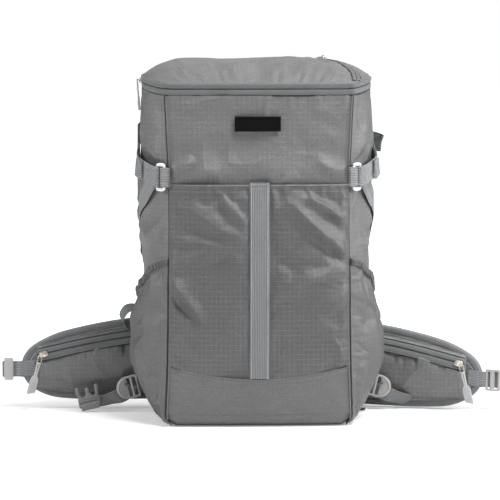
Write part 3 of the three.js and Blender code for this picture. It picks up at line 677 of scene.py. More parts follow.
@once
def plastic(tone=0.26, slot="grey_plastic", gloss=0.4):
    """Moulded acetal with a fine spark-eroded grain, paler where handling has rubbed it."""
    m = Nodes("plastic_" + slot, slot)
    place = m.place()
    grain = m.noise(place, 1800, 3)
    edge = m.add("ShaderNodeNewGeometry").outputs["Pointiness"]
    worn = m.ramp(edge, 0.52, 0.6)
    base = m.mix(m.ramp(m.noise(place, 55, 4), 0.35, 0.7), grey(tone * 0.93, 0.02), grey(tone * 1.05, 0.015))
    base = m.mix(m.math("MULTIPLY", worn, 0.5), base, grey(min(tone * 1.3, 0.9), 0.01))
    rough = m.ramp(m.noise(place, 120, 3), 0.3, 0.7, gloss - 0.05, gloss + 0.08)
    return m.finish(base, rough, m.bump(grain, 0.15, 0.0002))


@once
def nickel():
    m = Nodes("nickel", "nickel")
    place = m.place()
    base = m.mix(m.ramp(m.noise(place, 300, 3), 0.35, 0.65), (0.55, 0.51, 0.44, 1), (0.76, 0.73, 0.66, 1))
    return m.finish(
        base, m.ramp(m.noise(place, 500, 3), 0.3, 0.7, 0.2, 0.38),
        m.bump(m.noise(place, 900), 0.1, 0.0002), metallic=1.0
    )


@once
def label_rubber():
    m = Nodes("label_rubber", "label_rubber")
    place = m.place()
    base = m.mix(m.noise(place, 200, 3), (0.0006, 0.0006, 0.001, 1), (0.002, 0.002, 0.003, 1))
    m.put(m.shader.inputs["Specular IOR Level"], 0.12)
    return m.finish(base, 0.6, m.bump(m.noise(place, 1500, 2), 0.25, 0.0003))


@once
def pull_rubber():
    m = Nodes("pull_rubber", "pull_rubber")
    place = m.place()
    base = m.mix(m.noise(place, 200, 3), grey(0.4, -0.02), grey(0.48, -0.02))
    return m.finish(base, 0.55, m.bump(m.noise(place, 1200, 2), 0.2, 0.0003))


@once
def shadow_gap():
    """The dark inside of a seam or an opening."""
    m = Nodes("seam_shadow", "trim")
    base = m.mix(m.noise(m.place(), 150, 3), grey(0.018), grey(0.035))
    return m.finish(base, 0.9, m.bump(m.noise(m.place(), 600), 0.3, 0.0004))


# ---- Body of the bag ----
def uv_grid(nu, nv):
    return np.meshgrid(np.linspace(0, 1, nu), np.linspace(0, 1, nv))


def panel_points(s0, s1, low, high, lift, nu, nv):
    """A grid on the bag between s0 and s1 and between two heights that may depend on s."""
    u, v = uv_grid(nu, nv)
    s = s0 + (s1 - s0) * u
    z_low = low(s) if callable(low) else low
    z_high = high(s) if callable(high) else high
    z = z_low + (z_high - z_low) * v
    return on_bag(s, z, lift(u, v, s, z))


def tuck(z, radius=15.0):
    """How far a wall draws in as it turns under at the bottom."""
    return radius - np.sqrt(np.maximum(radius**2 - np.clip(radius - z, 0, radius) ** 2, 0))


def under_zip(s):
    return zip_z(s) - BAND_H - 0.6


FRONT_FOLDS = [
    ((-115, 322), (-84, 348), 7, 5.0),
    ((-104, 318), (-36, 332), 9, 2.4),
    ((112, 322), (72, 346), 8, 3.4),
    ((14, 308), (50, 324), 7, 2.6),
    ((-108, 404), (-56, 418), 9, 2.2),
    ((106, 398), (66, 412), 9, 2.2),
    ((-112, 372), (-70, 362), 12, 2.2),
    ((60, 356), (112, 378), 13, 2.6),
]


def front_panel():
    def lift(u, v, s, z):
        x = s * seam_x(z)
        shown = ease((z - POCKET_TOP + 12) / 25)
        full = 4.0 * np.exp(-(((z - 330) / 17) ** 2)) * np.sin(math.pi * u) ** 0.5
        soft = 2.4 * noise(x, z, 58, 3) + 2.0 * crumple(x, z, 44, 5) * np.sin(math.pi * u) ** 0.3
        pucker = 0.9 * noise(x, z * 0.2, 7, 9) * ease((z - 400) / 20)
        gather = 0.8 * noise(x, z * 0.2, 9, 10) * np.exp(-((z - POCKET_TOP) / 16) ** 2)
        return (
            PANEL + shown * (full + soft + folds_of(x, z, FRONT_FOLDS) + pucker + gather)
            * ease((1 - np.abs(s)) * 14)
        )

    p = panel_points(-1, 1, 16, under_zip, lift, 200, 300)
    sheet("front_panel", p, ripstop(0.115, 0.9, 0.5), "pack", ["front_panel"])


SIDE_FOLDS = [
    ((-80, 300), (-18, 258), 8, 4.6),
    ((-86, 345), (-30, 396), 10, 4.2),
    ((-70, 230), (10, 292), 12, 4.0),
    ((-82, 272), (-40, 232), 7, 3.4),
    ((-78, 402), (-20, 380), 10, 3.0),
    ((0, 330), (70, 360), 12, 3.6),
    ((-10, 240), (70, 270), 12, 3.6),
]


def side_panels():
    for side, name in ((1, "right"), (-1, "left")):
        seed = 20 if side > 0 else 40

        def lift(u, v, s, z):
            t = np.abs(s) - 1
            y = -90 + 182 * t
            free = ease((z - 225 + 70 * t) / 30) * ease(t * 12) * ease((1 - t) * 12)
            soft = 3.0 * noise(y, z, 58, seed) + 3.2 * crumple(y, z, 48, seed + 3) - 1.8
            # The bag is drawn flat under its two strap arms and swells between them.
            upper, lower = z - 345 - 0.325 * y, z - 266 + 0.63 * y
            under = np.exp(-((upper / 19) ** 4)) + np.exp(-((lower / 19) ** 4))
            swell = 2.0 * np.exp(-(((upper - 42) / 22) ** 2))
            folds = folds_of(y, z, SIDE_FOLDS)
            relief = (
                np.clip(soft + swell + folds, -2.2, 4.5 - 2.8 * ease((z - 358) / 20))
                * np.clip(1 - under, 0, 1) - 1.2 * np.minimum(under, 1)
            )
            return PANEL + 0.4 + free * relief - tuck(z)

        p = panel_points(side * 1.0, side * 2.0, 1.5, under_zip, lift, 130, 240)
        sheet("side_panel_" + name, p, ripstop(0.12, 1.0, 0.47), "pack", ["side_panel_" + name])


def back_panel():
    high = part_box("back_panel")[1]
    half, top, y = high.x / MM, high.z / MM, high.y / MM
    u, v = uv_grid(120, 160)
    z = 4 + (top - 4) * v
    x = (2 * u - 1) * np.minimum(half, side_x(z) - REAR_RADIUS + 2)
    relief = 0.9 * noise(x, z, 40, 60) * np.sin(math.pi * u) ** 0.5
    p = np.stack([x, y + relief - tuck(z, 10), z], -1)
    sheet("back_panel", p[:, ::-1], ripstop(), "pack", ["back_panel"], thickness=1.8)


def frame_sheet():
    """The stiffener stays as modelled, and is only given its moulded plastic."""
    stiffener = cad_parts["frame_sheet"]
    stiffener.data.materials.clear()
    stiffener.data.materials.append(plastic(0.1))


def seam_piping():
    """Painted shade in the seams where the front meets the sides, and the piping at the rear edges."""
    for side, name in ((1, "right"), (-1, "left")):
        z = np.linspace(10, ZIP_Z - 9, 180)
        wander = 0.25 * noise(z, z * 0, 20, 70 + side)
        front = on_bag(side * 1.0, z, 1.9 + wander - tuck(z))
        tube("front_seam_" + name, front, 0.95, shadow_gap(), "pack")
        lip = on_bag(side * 0.988, z, 2.6 + wander - tuck(z))
        tube("front_seam_lip_" + name, lip, 1.15, ripstop(), "pack")
        z = np.linspace(8, ZIP_Z + 4, 140)
        rear = on_bag(side * 1.995, z, 2.2)
        tube("rear_seam_" + name, rear, 1.9, binding(), "pack")


def boot():
    """The base panel: up the front to its curved seam, and under the bag to the rear."""
    nu, rows = 190, 130
    turn = 17.0
    # The shares of the rows up to the end of the front, and up to the end of the turn under it.
    front_end, turn_end = 0.42, 0.62
    u = np.linspace(-1, 1, nu)
    grid = []
    for k in range(rows):
        v = k / (rows - 1)
        if v < front_end:
            z = boot_z(u) + (turn - boot_z(u)) * (v / front_end)
            swell = 3.6 + 2.2 * np.sin(math.pi * np.clip((z - 4) / 70, 0, 1)) * np.sqrt(1 - u**2) + 0.5
            relief = 0.7 * noise(u * 115, z, 34, 80) + 0.5 * crumple(u * 115, z, 40, 81) - 0.5
            seam = 1.3 * np.exp(-((boot_z(u) - z) / 2.2) ** 2)
            relief = relief * np.sin(math.pi * np.clip(v / front_end, 0, 1))
            row = on_bag(u * 0.995, z, swell + relief + seam - 0.5 * np.abs(u) ** 12 * 4)
        elif v < turn_end:
            a = (v - front_end) / (turn_end - front_end) * math.pi / 2
            lip = on_bag(u * 0.995, turn, 4.1 - 2 * np.abs(u) ** 12)
            row = lip + np.stack([0 * u, turn * (1 - math.cos(a)) + 0 * u, -turn * math.sin(a) + 0 * u], -1)
            row[:, 2] = np.maximum(row[:, 2], 0)
        else:
            t = (v - turn_end) / (1 - turn_end)
            lip = on_bag(u * 0.995, turn, 4.1 - 2 * np.abs(u) ** 12)
            y = lip[:, 1] + turn + t * (BACK_Y - 6 - lip[:, 1] - turn)
            wide = np.interp(
                t, [0, 0.4, 0.85, 1], [seam_x(20), side_x(20) - 14, side_x(20) - 16, side_x(20) - 20]
            )
            x = lip[:, 0] * (1 - ease(t * 3)) + u * wide * ease(t * 3)
            row = np.stack([x, y, 0 * u + 0.15 * (1 + noise(u * 100, y, 30, 84))], -1)
        corner = 7 * np.clip(np.abs(u) - 0.9, 0, 1) / 0.1
        row[:, 2] += corner * ease((turn * 1.4 - row[:, 2]) / turn) * 0.8
        grid.append(row)
    p = np.array(grid)
    sheet("base_panel", p[::-1], ripstop(0.1, 0.3, 0.5), "pack", ["base_panel"], thickness=2.2)
    s = np.linspace(-0.97, 0.97, 160)
    edge = on_bag(s, boot_z(s) - 0.2, 4.2)
    # Painted shade: a dark tube in the base seam.
    tube("base_seam", edge, 0.8, shadow_gap(), "pack")
    row = on_bag(s, boot_z(s) - 4.5, 6.2 + 0.3 * noise(s * 115, s * 0, 30, 86))
    stitches("base_stitches", row, "pack", unit(row * [1, 1, 0]), material=thread(0.2))


# ---- Pockets ----
pocket_fill = through([(0, 0), (0.12, 0.35), (0.5, 1), (0.85, 0.6), (1, 0.5)])


POCKET_FOLDS = [
    ((30, 290), (114, 226), 9, 8.2),
    ((60, 294), (116, 262), 7, 4.9),
    ((-102, 284), (-12, 240), 12, 5.7),
    ((-52, 292), (-14, 262), 8, 3.0),
    ((-118, 210), (-34, 232), 10, 5.7),
    ((-118, 206), (-70, 132), 8, 8.2),
    ((-112, 252), (-84, 232), 8, 3.0),
    ((22, 172), (116, 208), 11, 6.6),
    ((74, 138), (116, 186), 8, 5.3),
    ((90, 236), (116, 214), 6, 3.3),
    ((18, 244), (74, 214), 12, 3.3),
    ((-64, 170), (-16, 146), 13, 2.8),
    ((24, 132), (82, 116), 12, 2.5),
    ((-108, 122), (-84, 92), 8, 2.6),
    ((92, 112), (112, 84), 8, 2.6),
]


def front_pocket_lift(u, v, s, z):
    """The stash pocket's face off the bag: its swell, and the folds its hem and corners pull into it."""
    x = s * seam_x(z)
    swell = 4.8 + 5.5 * np.sin(math.pi * u) ** 0.8 * pocket_fill(v)
    soft = 2.8 * noise(x, z, 52, 11) + 2.4 * crumple(x, z, 50, 13) * ease((z - 80) / 50)
    small = 0.6 * noise(x, z, 16, 15)
    strap = np.exp(-((x / 17) ** 6))
    hem = 1.5 * noise(x, z * 0.08, 9, 17) * ease((z - POCKET_TOP + 30) / 30)
    seam = 0.8 * noise(x, z * 0.08, 7, 18) * ease((boot_z(s) + 18 - z) / 18)
    edge = ease((1 - np.abs(s)) * 11)
    relief = (folds_of(x, z, POCKET_FOLDS) + soft + small) * (1 - 0.85 * strap) + hem + seam
    return swell + edge * relief - 0.6 * (1 - edge)


def front_pocket():
    p = panel_points(-0.992, 0.992, boot_z, POCKET_TOP, front_pocket_lift, 230, 250)
    p = settle(p, 2.0, 0.02, 3.5, held=np.abs(p[..., 0]) < WEB / 2 + 3)
    # Painted shade: the pocket's ripstop has a darker tone than the front panel's, for its face turned
    # slightly down from the light above.
    sheet("front_pocket", p, ripstop(0.066, 1.0, 0.47), "pack", ["front_pocket"])
    top = p[-1]
    hem = top + [0, 1.1, -0.4]
    tube("front_pocket_hem", hem, 1.7, ripstop(), "pack", flat=1.2)
    row = p[-9]
    stitches("front_pocket_hem_stitches", row + [0, -0.15, 0], "pack", (0, -1, 0), material=thread(0.2))


def front_strap():
    z = np.linspace(BOOT_TOP + 1, POCKET_TOP + 4, 120)
    v = (z - BOOT_TOP) / (POCKET_TOP - BOOT_TOP)
    lift = front_pocket_lift(0.5 + 0 * z, np.clip(v, 0, 1), 0 * z, z) + 1.5
    lift = np.convolve(np.pad(lift, 6, mode="edge"), np.ones(13) / 13, "valid")
    path = on_bag(0 * z, z, lift)
    sweep(
        "front_strap", path, ribbed(WEB, 1.7, 9, 0.28), (1, 0, 0), web_cloth(0.26, True), "pack",
        ["front_strap"], sharp=60
    )
    face = path + [0, -1.0, 0]
    for k, x in enumerate((-WEB / 2 + 1.9, WEB / 2 - 1.9)):
        stitches(f"front_strap_stitches_{k}", face + [x, 0, 0], "pack", (0, -1, 0), material=thread(0.34))
    for k, z_row in enumerate((POCKET_TOP + 1.5, POCKET_TOP - 4)):
        x = np.linspace(-WEB / 2 + 2, WEB / 2 - 2, 20)
        y = np.interp(z_row, z, path[:, 1]) - 1.0
        stitches(
            f"front_strap_bar_{k}", np.stack([x, y + 0 * x, z_row + 0 * x], 1), "pack", (0, -1, 0), 2.2,
            1.7, material=thread(0.36)
        )


bottle_bulge = through([(0, 0), (0.15, 0.4), (0.5, 1), (0.8, 0.72), (1, 0.25)])


def bottle_hem(s):
    return through([(0, 208), (0.42, 166), (1, 148)])(np.abs(s) - 1)


def bottle_lift(side):
    seed = 100 if side > 0 else 120

    def lift(u, v, s, z):
        t = np.abs(s) - 1
        span = 180 * t
        swell = 5 + 19 * np.sin(math.pi * np.clip(t, 0, 1)) ** 0.75 * bottle_bulge(v)
        gather = (noise(span, z * 0.06, 6.5, seed) * 2.6 + noise(span, z * 0.05, 13, seed + 1) * 2.4) * v**3
        long = 3.4 * noise(span + 0.18 * z, z * 0.1, 17, seed + 2) * np.sin(math.pi * v) ** 0.6
        soft = 2.0 * crumple(span, z * 0.4, 30, seed + 3) * np.sin(math.pi * v) ** 0.5
        edge = ease(t * 16) * ease((1 - t) * 12)
        # It lies flatter at the back, where the hip wing's slider passes.
        calm = 1 - 0.85 * ease((t - 0.7) / 0.12)
        return swell + edge * (gather + calm * (long + soft)) - 1.6 * (1 - ease(t * 16)) - tuck(z)

    return lift


def side_pockets():
    for side, name in ((1, "right"), (-1, "left")):
        lift = bottle_lift(side)
        s0, s1 = side * 1.004, side * 1.975
        p = panel_points(s0, s1, 3, bottle_hem, lift, 200, 210)
        p = settle(p, 2.0, 0.03, 4.0, held=p[..., 1] > 38)
        sheet("side_pocket_" + name, p, ripstop(0.085, 0.4, 0.48), "pack", ["side_pocket_" + name])
        # The hem: elastic in a channel that has gathered into ridges.
        n = 900
        s = np.linspace(s0, s1, n)
        top = p[-1]
        run = np.linspace(0, 1, len(top))
        base = np.stack([np.interp(np.linspace(0, 1, n), run, top[:, k]) for k in range(3)], 1)
        out = unit(on_bag(s, bottle_hem(s), 10) - on_bag(s, bottle_hem(s), 0))
        length = np.concatenate([[0], np.cumsum(np.linalg.norm(np.diff(base, axis=0), axis=1))])
        wave = np.sin(length * 2 * math.pi / 5.6 + 1.6 * noise(length, length * 0, 14, 130))
        ridge = np.abs(np.cos(length * math.pi / 5.6 + 0.8 * noise(length, length * 0, 14, 130))) ** 0.7
        a = np.linspace(0, 2 * math.pi, 20, endpoint=False)
        high, deep = 4.9, 1.5
        profile = np.stack(
            [
                np.sign(np.cos(a)) * np.abs(np.cos(a)) ** 0.6 * high * (1 + 0.04 * wave[:, None]),
                np.sin(a) * (deep + 1.9 * ridge[:, None] * (np.abs(np.cos(a)) < 0.95)),
            ],
            -1,
        )
        centre = base + [0, 0, high - 0.6] + out * 0.5
        sweep(
            "pocket_hem_" + name, centre, profile, (0, 0, 1), elastic(), "pack", ["pocket_hem_" + name],
            sharp=80
        )
        lip = centre + [0, 0, high - 0.3] + out * 0.2
        tube("pocket_hem_lip_" + name, lip[::5], 0.9, binding(0.17), "pack")


def label():
    low, high = (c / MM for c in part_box("label_patch"))
    w, h = high.x - low.x - 1.6, high.z - low.z
    z0, y0 = (high.z + low.z) / 2, low.y
    u, v = uv_grid(90, 34)
    x, z = (u - 0.5) * w, (v - 0.5) * h
    rim = np.minimum(w / 2 - np.abs(x), h / 2 - np.abs(z))
    raised = 1.1 * (1 - ease((rim - 1.6) / 0.7)) + 0.4 * ease(rim / 0.5)
    curve = (x / w * 2) ** 2 * 1.2
    p = np.stack([x - 2, y0 - 2.3 - raised + curve, z0 + z], -1)
    sheet("label_patch", p, label_rubber(), "pack", ["label_patch"], thickness=2.0)


# ---- Lid ----
CROWN = 24.0


def lid_point(u, v, lift=0.0):
    """A point on the lid: u runs left to right and v from the front rim to the hinge."""
    s = 2 * u - 1
    front = outline(s, ZIP_Z + 0 * s)[..., 1] - 1.5
    y = front + (BACK_Y + 1.5 - front) * v
    edge = outline(1 + np.clip(v * 0.97, 1e-6, 1), ZIP_Z + 0 * v)[..., 0]
    x = s * (edge + 1.2)
    climb = ease((np.abs(s) - 0.9 + 0.97 * v) / 0.5)
    rim = ZIP_Z + BAND_H - 0.6 + ZIP_RISE * (climb + (1 - climb) * v**3)
    dome = (1 - np.abs(s) ** 4) * (1 - np.abs(2 * v - 1) ** 2.8)
    return np.stack([x, y, rim + CROWN * dome + lift], -1)


def lid_relief(u, v):
    x, y = (2 * u - 1) * 150, 180 * v
    inside = (np.sin(math.pi * np.clip(u, 0, 1)) * np.sin(math.pi * np.clip(v, 0, 1))) ** 0.35
    pucker = noise(x, y * 0.15, 8, 150) * 1.3 * np.exp(-y / 20) * ease(y / 4)
    side = noise(x * 0.15, y, 9, 151) * 1.0 * np.exp(-(150 - np.abs(x)) / 14)
    soft = 1.6 * noise(x, y, 62, 152) + 1.4 * crumple(x, y, 52, 153)
    dent = -3.2 * np.exp(-(((x + 92) / 34) ** 2) - (((y - 14) / 9) ** 2))
    folds = fold(x, y, (-40, 8), (-10, 70), 12, 2.2) + fold(x, y, (-128, 20), (-60, 44), 10, 2.2)
    folds = folds + fold(x, y, (18, 6), (40, 60), 10, 1.4) + fold(x, y, (60, 5), (70, 50), 9, 1.2)
    return 0.5 + inside * (soft + folds + dent) + pucker + side


def band(name, low, high, material, body, nodes, lift=1.9, bulge=2.1):
    """One half of the covered zip: a padded tube between two heights, round the front and sides."""
    s = np.concatenate(
        [np.linspace(-BAND_END, -1, 110, endpoint=False), np.linspace(-1, 1, 150, endpoint=False)]
    )
    s = np.concatenate([s, np.linspace(1, BAND_END, 110)])
    a = np.linspace(0, 2 * math.pi, 22, endpoint=False)
    middle, half = (low(s) + high(s)) / 2, (high(s) - low(s)) / 2
    c, d = np.cos(a), np.sin(a)
    run = np.cumsum(
        np.linalg.norm(np.diff(on_bag(s, middle, 0), axis=0, prepend=on_bag(s[:1], middle[:1], 0)), axis=1)
    )
    puff = 1 + 0.05 * noise(run, run * 0, 12, len(name))
    z = middle[:, None] + half[:, None] * np.sign(c) * np.abs(c) ** 0.75
    off = lift + bulge * puff[:, None] * np.sign(d) * np.abs(d) ** 0.75
    p = on_bag(s[:, None] + 0 * z, z, off)
    faces = list(grid_faces(len(a), len(s), close_u=True))
    faces += [tuple(range(len(a))), tuple((len(s) - 1) * len(a) + i for i in range(len(a)))[::-1]]
    uv = np.stack([run[:, None] + 0 * z, z], -1)
    obj = build(name, p.reshape(-1, 3), faces, material, body, nodes, uv.reshape(-1, 2), 180)
    if facing_in(obj):
        obj.data.flip_normals()
    return obj


def main_zip():
    band(
        "zip_band_lower", lambda s: zip_z(s) - BAND_H - 0.3, lambda s: zip_z(s) - 0.4, trim(), "pack",
        ["zip_band_lower"]
    )
    band(
        "zip_band_upper", lambda s: zip_z(s) + 0.4, lambda s: zip_z(s) + BAND_H - 0.2, trim(), "lid",
        ["zip_band_upper"], 2.2, 2.3
    )
    s = np.linspace(-BAND_END, BAND_END, 260)
    # Painted shade: a dark tube in the gap between the two zip bands.
    tube("zip_gap", on_bag(s, zip_z(s) - 0.1, 1.6), 0.9, shadow_gap(), "pack")
    tube("zip_shadow_below", on_bag(s, zip_z(s) - BAND_H - 0.9, 1.9), 0.9, shadow_gap(), "pack")
    row = on_bag(s, zip_z(s) + BAND_H - 1.6, 4.4)
    stitches("zip_stitches_upper", row, "lid", unit(row * [1, 1, 0] + [0, 0, 60]), material=thread(0.2))


def lid():
    u, v = uv_grid(240, 170)
    u, v = 0.5 - 0.5 * np.cos(math.pi * (0.08 + 0.84 * u)) / math.cos(math.pi * 0.08), v
    p = lid_point(u, v)
    n = normals_of(p)
    n = n * np.sign(n[..., 2:])
    p = p + n * lid_relief(u, v)[..., None]
    zip_u = lid_zip_place(np.clip((v - 0.07) / 0.83, 0, 1))[0]
    p = settle(p, 2.0, 0.02, 4.0, 4, held=np.abs(u - zip_u) < 0.03)
    sheet("lid_shell", p, ripstop(0.15, 0.8, 0.6), "lid", ["lid_shell"], thickness=1.4)
    # The rim's seam allowance closes the step between the lid and the padded band.
    s = np.linspace(-BAND_END, BAND_END, 260)
    tube("lid_rim", on_bag(s, zip_z(s) + BAND_H - 0.4, 0.6), 1.5, ripstop(0.15, 0.8, 0.6), "lid")
    hinge = [(x, BACK_Y + 2.2, top_of("back_panel").z + 1.2) for x in np.linspace(-138, 138, 60)]
    tube("lid_hinge_binding", np.array(hinge), 2.6, binding(), "lid")


def lid_zip_place(t):
    """Where the lid pocket's zip lies, from its front end to its rear end."""
    return 0.79 + 0.2 * (1 - t) ** 1.15, 0.07 + 0.83 * t


def lid_zip():
    """The lid pocket's zip: two lips over the coil, with dark lines of painted shade between and beside
    them.
    """
    t = np.linspace(0, 1, 90)
    u, v = lid_zip_place(t)

    def strip(shift, lift):
        uu = u + shift / (2 * side_x(ZIP_Z))
        q = lid_point(uu, v)
        return q + [0, 0, 1] * (lid_relief(uu, v) + lift)[:, None]

    half = 2.9
    across = unit(strip(1, 0) - strip(-1, 0))
    for k, shift in enumerate((-half, half)):
        flat = ring(2.6, 0.9, 14, 0.7)
        name = "lid_zip_lip_" + "ab"[k]
        sweep(name, strip(shift, 0.7), flat, across, trim(), "lid", ["lid_pocket_zip"] if k == 0 else ())
    for k, shift in enumerate((-6.2, 0, 6.2)):
        tube(f"lid_zip_line_{k}", strip(shift, 0.35), 0.55, shadow_gap(), "lid")


# ---- Local frames and flat hardware ----
class Seat:
    """A local frame that parts are made in. mirror flips its x first."""

    def __init__(self, origin=(0, 0, 0), turn=None, mirror=False):
        self.origin = np.array(origin, float)
        self.turn = np.eye(3) if turn is None else np.array(turn, float)
        if mirror:
            self.turn = self.turn @ np.diag([-1.0, 1, 1])

    def __call__(self, points):
        return np.asarray(points, float) @ self.turn.T + self.origin

    def inside(self, origin=(0, 0, 0), turn=None, mirror=False):
        inner = Seat(origin, turn, mirror)
        return Seat(self(inner.origin), self.turn @ inner.turn)

    def way(self, direction):
        return np.asarray(direction, float) @ self.turn.T


def about(axis, angle):
    return np.array(Matrix.Rotation(angle, 3, axis))


MIRROR = Seat(mirror=True)


def rounded(corners, radius, steps=5):
    """A polygon with rounded corners. radius is one number, or one for each corner."""
    c = np.array(corners, float)
    radii = np.broadcast_to(radius, len(c))
    out = []
    for k in range(len(c)):
        a, b = unit(c[k - 1] - c[k]), unit(c[(k + 1) % len(c)] - c[k])
        t = np.linspace(0, 1, steps)[:, None] if radii[k] > 0 else np.zeros((1, 1))
        room = min(np.linalg.norm(c[k - 1] - c[k]), np.linalg.norm(c[(k + 1) % len(c)] - c[k])) * 0.49
        p, q = c[k] + a * min(radii[k], room), c[k] + b * min(radii[k], room)
        out.append(p * (1 - t) ** 2 + 2 * c[k] * t * (1 - t) + q * t**2)
    return np.vstack(out)


def box_shape(w, h, radius, x=0.0, z=0.0):
    c = [(x - w / 2, z - h / 2), (x + w / 2, z - h / 2), (x + w / 2, z + h / 2), (x - w / 2, z + h / 2)]
    return rounded(c, radius)


def arc(x, z, radius, start, end, steps=20):
    a = np.radians(np.linspace(start, end, steps))
    return np.stack([x + radius * np.cos(a), z + radius * np.sin(a)], 1)


def plate(name, shapes, thickness, seat, material, body, nodes=(), bevel=0.6, y=0.0):
    """A moulded plate in the seat's XZ plane. The first shape is its outline and the others are holes."""
    curve = bpy.data.curves.new(name, "CURVE")
    curve.dimensions, curve.fill_mode = "2D", "BOTH"
    curve.extrude, curve.bevel_depth, curve.offset = thickness / 2 - bevel, bevel, -bevel
    curve.bevel_resolution = 2
    for shape in shapes:
        line = curve.splines.new("POLY")
        line.points.add(len(shape) - 1)
        co = np.zeros((len(shape), 4))
        co[:, :2], co[:, 3] = shape, 1
        line.points.foreach_set("co", co.ravel())
        line.use_cyclic_u = True
    source = bpy.data.objects.new(name + "_curve", curve)
    mesh = bpy.data.meshes.new_from_object(source)
    bm = bmesh.new()
    bm.from_mesh(mesh)
    bmesh.ops.remove_doubles(bm, verts=bm.verts, dist=0.004)
    p = np.array([(v.co.x, y - v.co.z, v.co.y) for v in bm.verts])
    bm.verts.index_update()
    faces = [tuple(v.index for v in f.verts) for f in bm.faces]
    bm.free()
    bpy.data.objects.remove(source)
    bpy.data.curves.remove(curve)
    bpy.data.meshes.remove(mesh)
    return build(name, seat(p), faces, material, body, nodes, p[:, [0, 2]], 40)


def rod(name, points, radius, material, body, step=1.2, seat=None):
    path = spline(points, step)
    path = path if seat is None else seat(path)
    return tube(name, path, radius, material, body)


def loop_spline(points, step):
    p = [tuple(v) for v in points]
    path = spline(p[-2:] + p + p[:3], step)
    start = int(np.argmin(np.linalg.norm(path[: len(path) // 2] - p[0], axis=1)))
    rest = np.linalg.norm(path[start + 5 :] - p[0], axis=1)
    return path[start : start + 5 + int(np.argmin(rest))]


def strap(name, points, width, side, material, body, nodes=(), seat=None, thickness=WEB_T):
    """Webbing along points, its width along side."""
    path = spline(points)
    side = np.array(side, float)
    if seat is not None:
        path, side = seat(path), seat.way(side)
    profile = ribbed(width, thickness, max(4, int(width / 2.6)))
    return sweep(name, path, profile, side, material, body, nodes, sharp=60)


# ---- Hooks, locks, buckles and sliders ----
def ladder_lock(name, seat, body, nodes, scale=1.0, material=None):
    """A ladder lock: two slots for the webbing and a round thumb tab towards the seat's +X."""
    w, d = 16 * scale, 8.5 * scale
    tab = arc(d - 1, 0, w, -90, 90, 24)
    outer = np.vstack([rounded([(d - 2, w), (-d, w), (-d, -w), (d - 2, -w)], [0, 2.5, 2.5, 0]), tab[1:-1]])
    slots = [box_shape(4.6 * scale, 26 * scale, 1.2, x, 0) for x in (-3.0 * scale, 5.0 * scale)]
    material = material or plastic()
    parts = [plate(name, [outer] + slots, 3.4, seat, material, body, nodes, 0.9)]
    rim = arc(d - 1, 0, w - 2.2, -74, 74, 30)
    ridge = seat(np.c_[rim[:, 0], np.full(30, -1.9), rim[:, 1]])
    parts.append(tube(name + "_rim", ridge, 1.0, material, body))
    for k, x in enumerate((-d + 1.6, 1.0 * scale)):
        bar = seat(np.array([(x, -1.5, -w + 2.5), (x, -1.5, w - 2.5)]))
        parts.append(tube(name + f"_bar_{k}", np.linspace(bar[0], bar[1], 12), 1.3, material, body))
    return join(parts, name)


def male_outline():
    """The prong half of a side-release buckle, prongs up."""
    h, bar, prong = 16.5, 12.0, 20.0
    right = [
        (h, -bar), (h, 0), (h - 1.4, 5), (h + 1.2, prong - 7), (h + 0.4, prong), (h - 4, prong),
        (h - 5.2, 6)
    ]
    right += [(h - 8, 3.2), (3.2, 7)]
    left = [(-x, z) for x, z in right[::-1]]
    radii = [2.5, 1.5, 2, 3, 2.5, 2.5, 2.5, 2.5, 1.5]
    guide = [(2.2, prong - 3), (-2.2, prong - 3)]
    slot = box_shape(26, 5, 1.2, 0, -bar / 2 - 0.5)
    return rounded(right + guide + left, radii + [1.2, 1.2] + radii[::-1]), slot


def male_buckle(name, seat, body, nodes=(), scale=1.0):
    outline_, slot = male_outline()
    m = plastic(0.2)
    parts = [plate(name, [outline_ * scale, slot * scale], 5.0, seat, m, body, nodes, 1.0)]
    brace = box_shape(27, 2.6, 1.0, 0, 1.2) * scale
    parts.append(plate(name + "_brace", [brace], 6.4, seat, m, body, (), 1.0))
    for side in (-1, 1):
        grip = (
            rounded([(side * 12.6, 7.5), (side * 15.6, 8.5), (side * 16.2, 17), (side * 13.4, 18)], 1.0)
            * scale
        )
        parts.append(plate(name + f"_grip_{side + 1}", [grip[::side]], 6.6, seat, m, body, (), 0.9))
    return join(parts, name)


def female_buckle(name, seat, body, nodes=(), scale=1.0):
    """The half the prongs click into: two faces with a mouth between, and side windows."""
    w, h = 36 * scale, 26 * scale
    m = plastic()
    face = rounded([(-w / 2, -h / 2), (w / 2, -h / 2), (w / 2, h / 2), (-w / 2, h / 2)], [3, 3, 5, 5])
    window = box_shape(10 * scale, 4 * scale, 1.4, 0, h / 2 - 6 * scale)
    parts = [plate(name, [face, window], 1.9, seat, m, body, nodes, 0.7, y=-3.5)]
    parts.append(plate(name + "_rear", [face], 1.9, seat, m, body, (), 0.7, y=3.5))
    parts.append(
        plate(name + "_root", [box_shape(w - 1, h * 0.3, 2, 0, -h * 0.33)], 6.4, seat, m, body, (), 0.8)
    )
    for side in (-1, 1):
        rail = box_shape(3.2 * scale, h * 0.3, 0.8, side * (w / 2 - 2.2 * scale), h * 0.32)
        parts.append(plate(name + f"_rail_{side + 1}", [rail], 6.0, seat, m, body, (), 0.5))
    tail = box_shape(31 * scale, 12 * scale, 2, 0, -h / 2 - 5 * scale)
    slot = box_shape(24 * scale, 5 * scale, 1.2, 0, -h / 2 - 6 * scale)
    parts.append(plate(name + "_tail", [tail, slot], 4.8, seat, m, body, (), 1.0))
    return join(parts, name)


